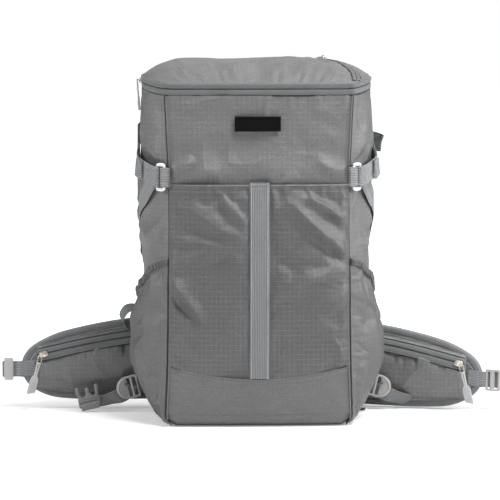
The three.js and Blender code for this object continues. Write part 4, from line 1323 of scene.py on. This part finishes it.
def slider(name, seat, body, nodes):
    """A zip slider along the seat's X: two shield-shaped plates, and a bail for the pull."""
    shield = rounded(
        [(-5.5, -2.4), (-1, -4), (5.5, -3.2), (5.5, 3.2), (-1, 4), (-5.5, 2.4)], [1.2, 2, 1.2, 1.2, 2, 1.2]
    )
    m = nickel()
    parts = [plate(name, [shield], 1.3, seat, m, body, nodes, 0.4, y=-1.1)]
    parts.append(plate(name + "_foot", [shield], 1.2, seat, m, body, (), 0.4, y=1.1))
    parts.append(plate(name + "_post", [box_shape(3.4, 2.4, 0.8, 1.5)], 2.4, seat, m, body, (), 0.3))
    bail = [(-4, -1.2, 0), (-3.4, -2.9, 0), (-1, -3.9, 0), (2, -3.7, 0), (3.6, -2.6, 0), (4, -1.2, 0)]
    parts.append(rod(name + "_bail", bail, 0.75, m, body, seat=seat, step=0.7))
    return join(parts, name)


def zip_pull(name, seat, body, nodes, link=12.0, cord=18.0, tab=26.0, width=11.0):
    """A pull that hangs from the seat's origin: a wire link, a doubled cord, and a moulded tab."""
    half = 2.6
    wire = np.vstack([arc(0, -half, half, 0, 180, 12), arc(0, -link + half, half, 180, 360, 12)])
    wire = np.c_[wire[:, 0], np.zeros(len(wire)), wire[:, 1]]
    wire = np.vstack([wire, wire[:1]])
    gaps = np.linalg.norm(np.diff(wire, axis=0), axis=1)
    wire = np.vstack(
        [np.linspace(a, b, max(2, int(g)), endpoint=False) for a, b, g in zip(wire, wire[1:], gaps)]
    )
    parts = [tube(name + "_link", seat(wire), 0.85, nickel(), body, (), True)]
    top = -link + 1.2
    strands = []
    for k, side in enumerate((-1, 1)):
        path = [
            (0, -0.9, top + 0.9), (side * 1.5, -0.4, top - 2.5), (side * 1.25, 0, top - cord * 0.6),
            (side * 1.1, 0, top - cord - 3)
        ]
        strands.append(rod(name + f"_cord_{k}", path, 1.15, thread(0.5), body, seat=seat, step=1.0))
    join(strands, name + "_cord")
    end = top - cord
    shape = [
        (-width * 0.34, end), (width * 0.34, end), (width / 2, end - 5), (width / 2, end - tab),
        (-width / 2, end - tab + 4.5), (-width / 2, end - 5)
    ]
    leaf = plate(
        name, [rounded(shape, [1.5, 1.5, 2.5, 2, 2, 2.5])], 2.8, seat, pull_rubber(), body, nodes, 0.8
    )
    ribs = [leaf]
    for k in range(5):
        z = end - 7.5 - k * (tab - 14) / 4
        bar = np.linspace((-width / 2 + 2.2, -1.35, z), (width / 2 - 2.2, -1.35, z), 6)
        ribs.append(tube(name + f"_rib_{k}", seat(bar), 0.55, pull_rubber(), body))
    join(ribs, name)
    return parts


# ---- Compression straps ----
HOOK_S, HOOK_Z, HOOK_LIFT, HOOK_TURN = 1.035, 321.0, 6.0, math.radians(47)


def on_side(y, z, lift):
    """A point on the right side of the bag at a given y."""
    y, z = np.asarray(y, float), np.asarray(z, float)
    t = np.clip((y + seam_y(z)) / (BACK_Y + seam_y(z)), 0, 1)
    return on_bag(1 + t, z, lift)


def hairpin(at, length, way, inner=4.1, outer=10.9, spread=0.0):
    """Webbing round a bar at x = at, seen from above: out on the outer layer and back on the inner one.

    spread is how far the two legs part in height by their far ends.
    """
    x = [way * length, at + way * 1.5, at - way * 1.6, at + way * 1.5, way * length]
    z = [spread, 0, 0, 0, -spread]
    return np.array([(a, -b, c) for a, b, c in zip(x, [outer, outer, (inner + outer) / 2, inner, inner], z)])


def side_run(start, end, lift, steps=14):
    t = np.linspace(0, 1, steps)
    y, z = (start[k] + (end[k] - start[k]) * t for k in (0, 1))
    return on_side(y, z, lift(t) if callable(lift) else lift + 0 * t)


def compression_straps():
    spot = outline(np.array(HOOK_S), HOOK_Z)
    hook = Seat((*spot, HOOK_Z), about("Z", HOOK_TURN))
    for mirror, name in ((False, "right"), (True, "left")):
        flip = MIRROR if mirror else Seat()
        up = (0, 0, 1)
        loop = hairpin(-3.0, 12.0, -1)
        loop[0, 1], loop[-1, 1] = -6.6, -4.6
        loop = flip(hook(loop))
        strap("compression_loop_" + name, loop, WEB, up, web_cloth(), "pack", ["compression_loop_" + name])
        upper = side_run((91, 374.5), (-52, 328), lambda t: 3.2 + 6.8 * ease(t * 3 - 2))
        lower = side_run((-58, 303), (91, 209), lambda t: 3.6 + 0.8 * ease(1 - 3 * t))
        path = np.vstack([upper[:-1], hook(hairpin(3.6, 19, 1, spread=4.0)), lower[1:]])
        strap(
            "compression_strap_" + name, flip(path), WEB, up, web_cloth(), "pack",
            ["compression_strap_" + name]
        )
        # The free tail lies over the upper arm and ends in a sewn fold.
        tail = side_run((80, 373), (-54, 329), lambda t: 5.2 + 7.2 * ease(t * 3 - 2))
        last = tail[-1] + (tail[-1] - tail[-2]) / np.linalg.norm(tail[-1] - tail[-2]) * 1.5
        out = unit(np.array([last[0], last[1] * 0.3, 0]))
        tail = np.vstack([tail, last + out * 1.6, tail[-1] + out * 3.2, tail[-2] + out * 3.4])
        strap("compression_tail_" + name, flip(tail), WEB - 1, up, web_cloth(), "pack")
        ring_path = [(-6.2, 15), (-4, 15.3), (4, 15.3), (6.2, 15), (6.2, 5), (6.2, -5)]
        ring_path += [(-x, -z) for x, z in ring_path]
        ring_path = [(x, -HOOK_LIFT - 1.6, z) for x, z in ring_path]
        rim = flip(hook(loop_spline(ring_path, 1.2)))
        white = plastic(0.8, "white_plastic", 0.3)
        tube(
            "compression_hook_" + name, rim, 1.75, white, "compression_hook_" + name,
            ["compression_hook_" + name], True
        )
        corner = [(x, -HOOK_LIFT - 1.6, z) for x, z in ((-4.6, -15.6), (0, -16.2), (4.6, -15.6))]
        lug = [flip(hook(np.array(corner) * [1, 1, k])) for k in (1, -1)]
        for k, points in enumerate(lug):
            rod(f"compression_hook_{name}_lug_{k}", points, 2.1, white, "compression_hook_" + name)


# ---- The lower corners, the gear loop and small tabs ----
def side_locks():
    for mirror, name in ((False, "right"), (True, "left")):
        flip = MIRROR if mirror else Seat()
        turn = about("Z", -0.2) @ about("Y", 0.24)
        seat = flip.inside((161, 62, 33), turn)
        ladder_lock(
            "side_lock_" + name, seat, "side_lock_" + name, ["side_lock_" + name], 0.95, plastic(0.4)
        )
        loop = [
            (-22, -2.2, 0), (-12, -3.0, 0), (-7.4, -2.6, 0), (-4.6, 0.2, 0), (-7.4, 2.8, 0),
            (-12, 3.0, 0), (-22, 2.4, 0)
        ]
        strap("side_lock_loop_" + name, loop, 21, (0, 0, 1), web_cloth(0.12), "pack", (), seat)
        path = [
            (5.4, 3.0, 3), (3.6, 0.2, 1), (6, 3.8, -2), (12, 4.4, -7), (26, 6, -9), (40, 16, -10.5),
            (54, 27, -11)
        ]
        web = sweep_free(
            "stabiliser_web_" + name, seat(spline(path)), 20, seat.way((0.75, 0, 0.66)),
            ["stabiliser_web_" + name]
        )
        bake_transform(web)


def sweep_free(name, path, width, side, nodes):
    """Webbing that rides on no body yet."""
    return sweep(name, path, ribbed(width, WEB_T, 8), side, web_cloth(), None, nodes, sharp=60)


def small_webs():
    ring_x = [(-146, 112), (-158, 108), (-169, 112), (-175, 123), (-169, 134), (-158, 136), (-146, 131)]
    path = [(x, 85, z) for x, z in ring_x]
    strap("gear_loop", path, WEB - 9, (0.35, -0.8, -0.55), web_cloth(0.24), "pack", ["gear_loop"])
    tab = [
        (148, 62, 362), (157, 58, 361), (164, 54, 359), (167.5, 50, 357), (166, 46.5, 356),
        (161, 49, 357), (154, 54, 359), (148, 58, 361)
    ]
    strap("side_tab_right", tab, 21, (0.2, 0.1, 1), web_cloth(0.1), "pack")
    tail = [(126, 66, 8), (134, 60, 3.5), (141, 56, 2.0), (148, 54, 2.2)]
    strap("lower_tail_right", tail, 12, (0.3, 1, 0.1), web_cloth(0.05), "pack")


def bound_edge(name, path, normal, body, wide=5.0, thick=1.4):
    """Binding folded over an edge: path is the edge, normal points out of the edge."""
    path, normal = np.asarray(path, float), np.asarray(normal, float)
    return sweep(name, path, ring(wide, thick, 16, 0.7), normal, binding(), body, sharp=80)


# ---- Harness ----
def pad(name, x0, x1, z0, z1, thick, nodes, seed, channels=0):
    """A foam pad on the back panel, with rounded edges and a bound rim."""
    nu, nv = 90, 120
    u, v = uv_grid(nu, nv)
    w, h = (x1 - x0) / 2, (z1 - z0) / 2
    r = 18.0
    x, z = (2 * u - 1) * w, (2 * v - 1) * h
    over = np.maximum(np.abs(z) - (h - r), 0)
    squeeze = 1 - (r - np.sqrt(np.maximum(r**2 - over**2, 0))) / w
    x = x * squeeze
    dx, dz = w * squeeze - np.abs(x), h - np.abs(z)
    rim = np.minimum(dx, dz)
    dome = 1 - np.clip(1 - rim / 11, 0, 1) ** 2.4
    ribs = 0.0
    for k in range(channels):
        at = z0 + (z1 - z0) * (k + 1) / (channels + 1) - (z0 + z1) / 2
        ribs = ribs - 0.55 * thick * np.exp(-(((z - at) / 4) ** 2)) * ease(dx / 8)
    soft = 0.8 * noise(x, z, 28, seed) * dome
    y = 96 + 1.2 + thick * dome + ribs + soft
    p = np.stack([x + (x0 + x1) / 2, y, z + (z0 + z1) / 2], -1)
    p = settle(p, 3.0, 0.03, 3.0, 3)
    sheet(name, p, spacer_mesh(), "pack", nodes, thickness=2.2)
    edge = np.concatenate([p[0, :-1], p[:-1, -1], p[-1, :0:-1], p[:0:-1, 0]])
    keep = np.concatenate([[True], np.linalg.norm(np.diff(edge, axis=0), axis=1) > 0.4])
    tube(name + "_binding", edge[keep] + [0, 0.2, 0], 2.0, binding(0.15), "pack", (), True)


def shoulder_straps():
    path = [
        (44, 100, 406), (47, 114, 399), (52, 121, 384), (66, 126, 330), (82, 127, 268), (96, 126, 210),
        (104, 124, 170)
    ]
    width = through([(0, 46), (0.3, 66), (0.75, 58), (1, 30)])
    line = spline(path, 4)
    t = np.linspace(0, 1, len(line))
    side = np.array([1, 0, -0.1])
    along = unit(np.gradient(line, axis=0))
    across = unit(side - along * (along @ side)[:, None])
    up = np.cross(across, along)
    up = up * np.sign(up[:, 1:2] + 0.01)
    for mirror, name in ((False, "right"), (True, "left")):
        flip = MIRROR if mirror else Seat()
        body = "shoulder_strap_" + name
        taper = np.minimum(1, 0.35 + np.minimum(t, 1 - t) * 14)[:, None]
        shape = ring(1, 1, 36, 0.5)
        ends = np.stack([shape[:, 0] * (width(t)[:, None] / 2 - 1), shape[:, 1] * 5.0 * taper], -1)
        sweep(
            "shoulder_pad_" + name, flip(line), ends, flip.way(side), spacer_mesh(0.1), body,
            ["shoulder_pad_" + name], sharp=80
        )
        k = np.linspace(-1, 1, 40)[:, None]
        half = width(t) / 2 - 2.2
        crown = 5.2 * taper[:, 0] + 0.1
        puff = crown * (1 - np.abs(k) ** 8 * 0.35) + 0.35 * noise(k * 30, t[None] * 250, 24, 201)
        cover = line[None] + across[None] * (k * half)[..., None] + up[None] * (puff + 0.5)[..., None]
        sheet("shoulder_cover_" + name, flip(cover), ripstop(), body, (), 1.0, (0, 1, 0))
        for edge in (-1, 1):
            rim = line + across * (edge * (width(t) / 2 - 1.4))[:, None]
            bound_edge(
                f"shoulder_binding_{name}_{edge + 1}", flip(rim), flip.way(up[20]), body, wide=5.6,
                thick=1.9
            )
        centre = line + up * (crown + 1.3)[:, None]
        daisy = centre[6:-3]
        sweep(
            "shoulder_daisy_" + name, flip(daisy), ribbed(20, 1.5, 8), flip.way(side), web_cloth(),
            body, sharp=60
        )
        for j in range(5):
            at = centre[int(len(centre) * (0.2 + 0.15 * j))]
            bar = np.linspace(at - side * 8.5, at + side * 8.5, 14) + up[20] * 0.9
            stitches(
                f"shoulder_bartack_{name}_{j}", flip(bar), body, flip.way(up[20]), 1.5, 1.3, 0.5,
                thread(0.25)
            )
        seat = flip.inside((106, 124.6, 151), about("Y", math.pi / 2))
        ladder_lock("shoulder_lock_" + name, seat, body, ["shoulder_lock_" + name], 0.8)
        hold = [
            (104, 122.5, 170), (105, 121.6, 160), (105.6, 124.6, 155.2), (105, 127.6, 160),
            (104, 127.8, 171)
        ]
        strap("shoulder_lock_loop_" + name, hold, 21, (1, 0, 0), web_cloth(), body, (), flip)
        web = [
            (106.6, 127.8, 138), (106.8, 125.6, 147), (106.8, 122.4, 143), (107, 122.4, 132),
            (110, 119, 112)
        ]
        web += [(114, 116.4, 94), (116.4, 113.4, 78), (117, 111.8, 68), (117, 111.2, 60)]
        line_down = flip(spline(web))
        down = sweep(
            "shoulder_web_" + name, line_down, ribbed(20, WEB_T, 8), (1, 0, 0), web_cloth(), None,
            ["shoulder_web_" + name]
        )
        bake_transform(down)
        row = np.stack([np.linspace(108, 126, 12), np.full(12, 112.6), np.full(12, 63.5)], 1)
        stitches(f"shoulder_web_tack_{name}", flip(row), "pack", (0, 1, 0), 1.5, 1.3, 0.5, thread(0.4))
        lifter = [(62, 96.6, 428), (60, 106, 417), (58, 121, 403), (57, 129.6, 394)]
        strap(
            "load_lifter_" + name, lifter, 20, (1, 0, 0), web_cloth(), "load_lifter_" + name,
            ["load_lifter_" + name], flip
        )
        seat = flip.inside((57, 131.5, 392), about("X", math.radians(-38)) @ about("Y", math.pi / 2))
        ladder_lock("lifter_lock_" + name, seat, "load_lifter_" + name, (), 0.62)


def sternum():
    for mirror, name in ((False, "right"), (True, "left")):
        flip = MIRROR if mirror else Seat()
        body = "sternum_half_" + name
        end = 22 if mirror else 32
        web = [(84, 136.2, 318), (64, 136.6, 318), (48, 136, 318), (end + 8, 134.6, 318)]
        strap(f"sternum_half_{name}", web, 18, (0, 0, 1), web_cloth(), body, [f"sternum_half_{name}"], flip)
        clip = box_shape(12, 26, 2, 78, 318)
        plate(
            f"sternum_clip_{name}", [clip, box_shape(4, 20, 1, 78, 318)], 3, flip, plastic(), body, (),
            0.7, 137.8
        )
    male = Seat((24, 134, 318), about("Y", -math.pi / 2))
    male_buckle("sternum_male", male, "sternum_half_right", (), 0.72)
    female = Seat((-20, 134, 318), about("Y", math.pi / 2))
    female_buckle("sternum_female", female, "sternum_half_left", (), 0.72)


def haul_loop():
    half = [(20, 97.2, 425), (19.5, 106, 424), (13, 114, 422)]
    path = [(-x, y, z) for x, y, z in half] + [(0, 117, 421)] + half[::-1]
    strap("haul_loop", path, 17, (0, 0.2, 1), web_cloth(), "haul_loop", ["haul_loop"], thickness=2.6)
    pad_path = np.array([(-26, 96.4, 425), (26, 96.4, 425)])
    strap("haul_loop_root", np.linspace(*pad_path, 6), 20, (0, 0, 1), web_cloth(), "pack")


# ---- Hip belt ----
# A wing is made pointing along the seat's +X from its hinge line, its front towards -Y.
def wing_top(x):
    return 122 - 0.0735 * x - 0.00078 * x * x


def wing_low(x):
    return 12 + 6 * (np.maximum(0, x - 60) / 94) ** 2


WING = 6.0  # half the wing's thickness
TIP_X, TIP_Z, TIP_R = 141.0, 56.0, 34.0
POCKET_REACH = 25.0  # the furthest its cloth stands off the wing's middle
POCKET_OUT = 17.0  # how far a hip pocket stands off its wing


def wing_outline():
    """The wing's edge from the root's foot round the tip to the root's top."""
    x = np.linspace(0, TIP_X - 2, 50)
    low = np.stack([x, wing_low(x)], 1)
    tip = arc(TIP_X, TIP_Z, TIP_R, -83, 80, 40)
    x = np.linspace(TIP_X - 8, 0, 50)
    edge = np.vstack([low, tip, np.stack([x, wing_top(x)], 1)])
    # The corners where the curves meet are smoothed out.
    run = np.concatenate([[0], np.cumsum(np.linalg.norm(np.diff(edge, axis=0), axis=1))])
    at = np.linspace(0, run[-1], 260)
    edge = np.stack([np.interp(at, run, edge[:, k]) for k in (0, 1)], 1)
    wide = 20
    padded = np.vstack([2 * edge[0] - edge[wide:0:-1], edge, 2 * edge[-1] - edge[-2 : -wide - 2 : -1]])
    window = np.hanning(2 * wide + 3)[1:-1]
    return np.stack([np.convolve(padded[:, k], window / window.sum(), "valid") for k in (0, 1)], 1)


def wing_edge(x, upper):
    edge = wing_outline()
    far = int(np.argmax(edge[:, 0]))
    part = edge[far:][::-1] if upper else edge[: far + 1]
    return np.interp(x, part[:, 0], part[:, 1])


def hip_zip_z(x):
    return (
        100 - 26 * (np.asarray(x) - 6) / 144
        + 2.2 * np.sin(math.pi * np.clip((np.asarray(x) - 6) / 144, 0, 1))
    )


def wing_face(x, z, lift=0.0):
    """The wing's front, with its pocket standing off it."""
    u = np.clip((x - 6) / 148, 0, 1)
    low = wing_low(x) + 9
    v = np.clip((z - low) / (hip_zip_z(x) + 12 - low), 0, 1)
    out = POCKET_OUT * (1 - np.abs(2 * u - 1) ** 14) * np.sin(math.pi * v) ** 0.6
    return np.stack([x + 0 * z, -(WING + 1.0 + out + lift), z + 0 * x], -1)


WING_FOLDS = [
    ((14, 74), (86, 60), 11, 2.2),
    ((28, 44), (112, 34), 12, 2.0),
    ((94, 20), (140, 46), 9, 2.4),
    ((60, 84), (118, 66), 9, 1.8),
]


def hip_wing(side, yaw, drop, tilt):
    name = "right" if side > 0 else "left"
    body = "hip_wing_" + name
    turn = about("Y", side * tilt) @ about("Z", -side * yaw)
    seat = Seat((side * 136, 104, drop), turn, side < 0)
    seed = 300 if side > 0 else 330
    u, v = uv_grid(120, 60)
    x = 2 + (wing_outline()[:, 0].max() - 3.5) * np.sin(u * math.pi / 2) ** 0.9
    low, high = wing_edge(x, False) + 1.5, wing_edge(x, True) - 1.5
    z = low + (high - low) * v
    rim = np.minimum(np.minimum(z - low, high - z), wing_outline()[:, 0].max() - x)
    dome = 1 - np.clip(1 - rim / 9, 0, 1) ** 2.2
    quilt = 1.2 * noise(x, z, 40, seed) * dome
    rear = seat(np.stack([x, 3.4 + 4.0 * dome + quilt, z], -1))
    sheet("hip_wing_" + name, rear, spacer_mesh(), body, ["hip_wing_" + name], 6.0, seat.way((0, 1, 0)))
    front = np.stack([x, -4.2 - 2.6 * dome - 0.5 * quilt, z], -1)
    sheet("hip_front_" + name, seat(front), ripstop(0.125), body, (), 3.0, seat.way((0, -1, 0)))
    # The fabric that hinges the wing to the bag's rear corner.
    t, rise = uv_grid(24, 30)
    high_z = 121 + drop - 2 * t
    low_z = 13 + drop
    start, end = np.array([side * 110, 103.5]), seat(np.array([9.0, 0, 0]))[:2]
    run = start + (end - start) * t[..., None]
    root = np.concatenate([run, (low_z + (high_z - low_z) * rise)[..., None]], -1)
    root[..., 1] += 1.5 * np.sin(math.pi * t)
    cuff = sheet("hip_root_" + name, root, spacer_mesh(), None, (), 3.0, np.array([0, 1.0, 0]))
    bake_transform(cuff)

    edge = wing_outline()
    tangent = unit(np.gradient(edge, axis=0))
    path = np.c_[edge[:, 0], np.zeros(len(edge)), edge[:, 1]]
    normal = np.c_[tangent[:, 1], np.zeros(len(edge)), -tangent[:, 0]]
    shape = ring(4.6, 7.6, 24, 0.55)
    sweep(
        "hip_binding_" + name, seat(path - normal * 3.6), shape, seat.way(normal), binding(), body, sharp=80
    )
    stitch_path = path - normal * 9.2 + [0, -7.4, 0]
    stitches(
        "hip_binding_stitches_" + name, seat(stitch_path), body, seat.way((0, -1, 0)), 3.2, 2.6, 0.45,
        thread(0.5)
    )

    # The pocket: a full face that its zip gathers, then the two zip tapes.
    u, v = uv_grid(170, 110)
    x = 5 + 150 * u
    low = wing_low(x) + 8
    z = low + (hip_zip_z(x) + 12.5 - low) * v
    span = np.sin(math.pi * u) ** 0.4
    gather = noise(x, z * 0.12, 5.5, seed + 1) * 2.8 * np.exp(-(((v - 0.7) / 0.1) ** 2)) * span
    soft = (
        (2.8 * noise(x, z, 42, seed + 2) + 2.6 * crumple(x, z, 34, seed + 3))
        * np.sin(math.pi * v) ** 0.7 * span
    )
    folds = folds_of(x, z, WING_FOLDS)
    out = gather + soft - 0.8 + folds * span * np.sin(math.pi * np.clip(v / 0.85, 0, 1))
    face = wing_face(x, z) + np.stack([0 * x, -out, 0 * x], -1)
    # The cloth is taut enough to stay behind the pull as it passes.
    knee = POCKET_REACH - 3
    over = np.maximum(0, -face[..., 1] - knee)
    face[..., 1] = np.where(over > 0, -knee - 3 * (1 - np.exp(-over / 3)), face[..., 1])
    sheet(
        "hip_pocket_" + name, seat(face), ripstop(0.125), body, ["hip_pocket_" + name], 1.2,
        seat.way((0, -1, 0))
    )
    x = np.linspace(8, 151.5, 100)
    puff = 1.6
    for k, (low_off, high_off) in enumerate(((-8.6, -0.6), (0.6, 7.0))):
        a = np.linspace(0, 1, 12)[:, None]
        z = hip_zip_z(x)[None] + low_off + (high_off - low_off) * a
        tape = wing_face(
            x[None] + 0 * z, z,
            puff + 1.1 * np.sin(math.pi * a) ** 0.5 + 0.3 * noise(x[None] + 0 * z, z, 9, seed + 5)
        )
        sheet(f"hip_zip_tape_{name}_{k}", seat(tape), trim(), body, (), 1.6, seat.way((0, -1, 0)))
    # Painted shade: dark tubes between and beside the hip pocket's zip tapes.
    for k, off in enumerate((-9.2, 0.0, 7.7)):
        gap = wing_face(x, hip_zip_z(x) + off, 1.5)
        tube(f"hip_zip_line_{name}_{k}", seat(gap), 0.7, shadow_gap(), body)
    for k, off in enumerate((-7.4, 5.8)):
        row = wing_face(x, hip_zip_z(x) + off, 2.75)
        stitches(
            f"hip_zip_stitches_{name}_{k}", seat(row), body, seat.way((0, -1, 0)), 3.0, 2.0, 0.3,
            thread(0.34)
        )
    # Painted shade: a dark tube in the seam near the wing's tip.
    z = np.linspace(wing_edge(150.0, False) + 6, wing_edge(150.0, True) - 6, 30)
    tube(
        "hip_tip_seam_" + name, seat(np.c_[np.full(30, 150.0), np.full(30, -7.2), z]), 0.8,
        shadow_gap(), body
    )

    parked = 145.0
    face_y = -WING - 0.6 - POCKET_OUT * 0.6 - 1.8 - 4.3
    slope = math.atan2(-26, 144)
    slide = seat.inside((parked, face_y, float(hip_zip_z(parked))), about("Y", -slope))
    slider("hip_slider_" + name, slide, "hip_slider_" + name, ["hip_slider_" + name])
    hang = seat.inside((parked + 4, face_y - 4.8, float(hip_zip_z(parked)) - 1), about("Y", -0.26))
    zip_pull("hip_pull_" + name, hang, "hip_pull_" + name, ["hip_pull_" + name])

    tip = TIP_X + TIP_R
    off = WING + 1.8
    fold_x = tip + 24
    run = [
        (tip - 19, -off, 55), (tip - 6, -off, 54.5), (tip + 2, -off + 0.4, 54), (tip + 9, -2.2, 53.5),
        (fold_x - 3, -1.6, 53), (fold_x, 1.4, 53)
    ]
    run += [(fold_x - 3, 4.4, 53), (tip + 9, 4.6, 52.5), (tip + 2, off, 52), (tip - 20, off, 50)]
    strap("hip_tip_web_" + name, run, 21, (0, 0, 1), web_cloth(), body, ["hip_tip_web_" + name], seat)
    for k, dx in enumerate((-16, -6)):
        row = np.stack([np.full(12, tip + dx), np.full(12, -off - 1.1), np.linspace(46, 63, 12)], 1)
        stitches(
            f"hip_tip_stitches_{name}_{k}", seat(row), body, seat.way((0, -1, 0)), 2.0, 1.6, 0.35,
            thread(0.36)
        )
    keeper = "hip_keeper_" + name
    if side < 0:
        # A closed sleeve: two faces and two ends, round the doubled webbing.
        face = [box_shape(12, 28, 2.4, fold_x - 8, 53)]
        parts = [plate(keeper, face, 2.2, seat, plastic(0.4), keeper, [keeper], 0.9, y=-5.2)]
        parts.append(plate(keeper + "_rear", face, 2.0, seat, plastic(0.4), keeper, (), 0.8, y=7.6))
        for k, z in enumerate((39.9, 66.1)):
            end = [box_shape(11.4, 2.2, 0.8, fold_x - 8, z)]
            parts.append(plate(keeper + f"_end_{k}", end, 13.0, seat, plastic(0.4), keeper, (), 0.6, y=1.2))
    else:
        # An open frame: a wide bar, a slot, and a narrow bar where the webbing turns back.
        holes = [box_shape(4.0, 23.4, 1.2, fold_x - 5.6, 53), box_shape(2.6, 23.4, 1.0, fold_x - 15.4, 53)]
        frame_shape = [box_shape(20, 29, 2.4, fold_x - 10, 53)] + holes
        parts = [plate(keeper, frame_shape, 4.4, seat, plastic(0.4), keeper, [keeper], 1.2, y=-4.4)]
    join(parts, keeper)
    return seat


def hip_belt():
    left = hip_wing(-1, math.radians(3), 0, 0)
    right = hip_wing(1, math.radians(16), -8, math.radians(1.5))
    # The left wing's own x runs towards its tip, so these places are given from the hinge outwards.
    seat = left.inside((86, -40, 17), about("Y", 0.22), True)
    male_buckle("hip_buckle_male", seat, "hip_buckle_male", ["hip_buckle_male"], 0.88)
    loop = [
        (0, -3.6, -14), (0, -3.6, -10), (0, -2.6, -5.4), (0, 0, -4.4), (0, 2.6, -5.4), (0, 3.6, -10),
        (0, 3.6, -14)
    ]
    strap("hip_male_web", loop, 24, (1, 0, 0), web_cloth(), "hip_buckle_male", (), seat)
    seat = right.inside((64, 16, 56), about("Y", math.pi))
    female_buckle("hip_buckle_female", seat, "hip_buckle_female", ["hip_buckle_female"])
    loop = [(0, -3.6, -29), (0, -3.6, -23), (0, -2.2, -19.6), (0, 2.2, -19.6), (0, 3.6, -23), (0, 3.6, -29)]
    strap("hip_female_web", loop, 22, (1, 0, 0), web_cloth(), "hip_buckle_female", (), seat)


def zip_sliders():
    """The lid pocket's slider, and the two that meet on the left side of the main zip."""
    a, place, b = (lid_point(*lid_zip_place(t), 4.6) for t in (0.82, 0.86, 0.9))
    along = unit(b - a)
    out = unit(np.array([0, 0, 1.0]) - along * along[2])
    across = np.cross(along, -out)
    seat = Seat(place, np.stack([along, -out, across], 1))
    slider("lid_slider", seat, "lid_slider", ["lid_slider"])
    flat = seat.inside((5, -3.0, 0), about("Y", -math.pi / 2))
    zip_pull("lid_pull", flat, "lid_pull", ["lid_pull"], 9, 6, 14, 8)
    for name, y in (("front", 50), ("rear", 64)):
        x = float(on_side(y, ZIP_Z, 5.2)[0])
        body = "main_slider_" + name
        seat = Seat((-x, y, ZIP_Z + ZIP_RISE), about("Z", -math.pi / 2))
        slider(body, seat, body, [body])
        zip_pull(body + "_pull", seat.inside((0, -4.2, 0.5), about("X", 0.07)), body, (), 13, 10, 19, 9)


# ---- Scene ----
def aim(obj, target):
    obj.rotation_euler = (Vector(target) - obj.location).to_track_quat("-Z", "Y").to_euler()


def studio():
    world = bpy.data.worlds.new("studio")
    bpy.context.scene.world = world
    world.use_nodes = True
    tree = world.node_tree
    # The backdrop reads as white, and lights the pack less than it shows.
    ray = tree.nodes.new("ShaderNodeLightPath")
    level = tree.nodes.new("ShaderNodeMapRange")
    level.inputs["To Min"].default_value, level.inputs["To Max"].default_value = 0.16, 1.0
    tree.links.new(ray.outputs["Is Camera Ray"], level.inputs["Value"])
    tree.links.new(level.outputs[0], tree.nodes["Background"].inputs["Strength"])
    tree.nodes["Background"].inputs["Color"].default_value = (1, 1, 1, 1)
    bpy.context.scene.view_settings.view_transform = "Standard"
    lights = [
        ("key", (0.8, -1.15, 2.4), 1.05, 68),
        ("fill", (-0.9, -2.6, 1.0), 0.8, 9),
        ("right", (2.2, -0.2, 1.1), 0.7, 38),
        ("left", (-2.2, -0.2, 1.3), 0.7, 27),
        ("top", (-0.1, 0.2, 2.6), 0.9, 6),
        ("back", (0.4, 2.6, 1.2), 1.6, 9),
    ]
    for name, place, size, power in lights:
        data = bpy.data.lights.new(name, "AREA")
        data.size, data.energy = size, power
        obj = bpy.data.objects.new(name, data)
        bpy.context.scene.collection.objects.link(obj)
        obj.location = place
        aim(obj, (0, 0, 0.25))
    half = 12000
    floor = [(-half, -half, -0.6), (half, -half, -0.6), (half, half, -0.6), (-half, half, -0.6)]
    m = Nodes("floor")
    tone = m.ramp(m.noise(m.place(), 0.4, 2), 0.3, 0.7, 0.94, 0.97)
    pale = m.add("ShaderNodeCombineXYZ", {0: tone, 1: tone, 2: tone})
    # The floor glows to the camera: a quarter as bright near the pack, painted light that pales its shadow
    # there, and fully far away, so that it meets the white backdrop without a horizon.
    away = m.add("ShaderNodeVectorMath", {0: m.place()}, operation="LENGTH").outputs["Value"]
    m.put(m.shader.inputs["Emission Color"], (1, 1, 1, 1))
    seen = m.add("ShaderNodeLightPath").outputs["Is Camera Ray"]
    m.put(m.shader.inputs["Emission Strength"], m.math("MULTIPLY", seen, m.ramp(away, 0.3, 1.4, 0.24, 1.0)))
    ground = build("floor", floor, [(0, 1, 2, 3)], m.finish(pale.outputs[0], 0.8), None)


def camera():
    data = bpy.data.cameras.new("camera")
    data.sensor_width, data.lens = 36, 220.5
    data.shift_x, data.shift_y = -0.012, -0.008
    data.clip_end = 100
    obj = bpy.data.objects.new("camera", data)
    bpy.context.scene.collection.objects.link(obj)
    azimuth, rise, distance = math.radians(-2.5), math.radians(5), 4.0
    target = Vector((0, 0, 0.225))
    away = Vector((math.sin(azimuth) * math.cos(rise), -math.cos(azimuth) * math.cos(rise), math.sin(rise)))
    obj.location = target + away * distance
    aim(obj, target)
    bpy.context.scene.camera = obj


front_panel()
side_panels()
back_panel()
frame_sheet()
seam_piping()
boot()
front_pocket()
front_strap()
side_pockets()
label()
main_zip()
lid()
lid_zip()
compression_straps()
side_locks()
small_webs()
pad("back_pad_right", 12, 92, 128, 392, 10, ["back_pad_right"], 400, 3)
pad("back_pad_left", -92, -12, 128, 392, 10, ["back_pad_left"], 410, 3)
pad("lumbar_pad", -130, 130, 14, 118, 12, ["lumbar_pad"], 420)
shoulder_straps()
sternum()
haul_loop()
hip_belt()
zip_sliders()
studio()
camera()
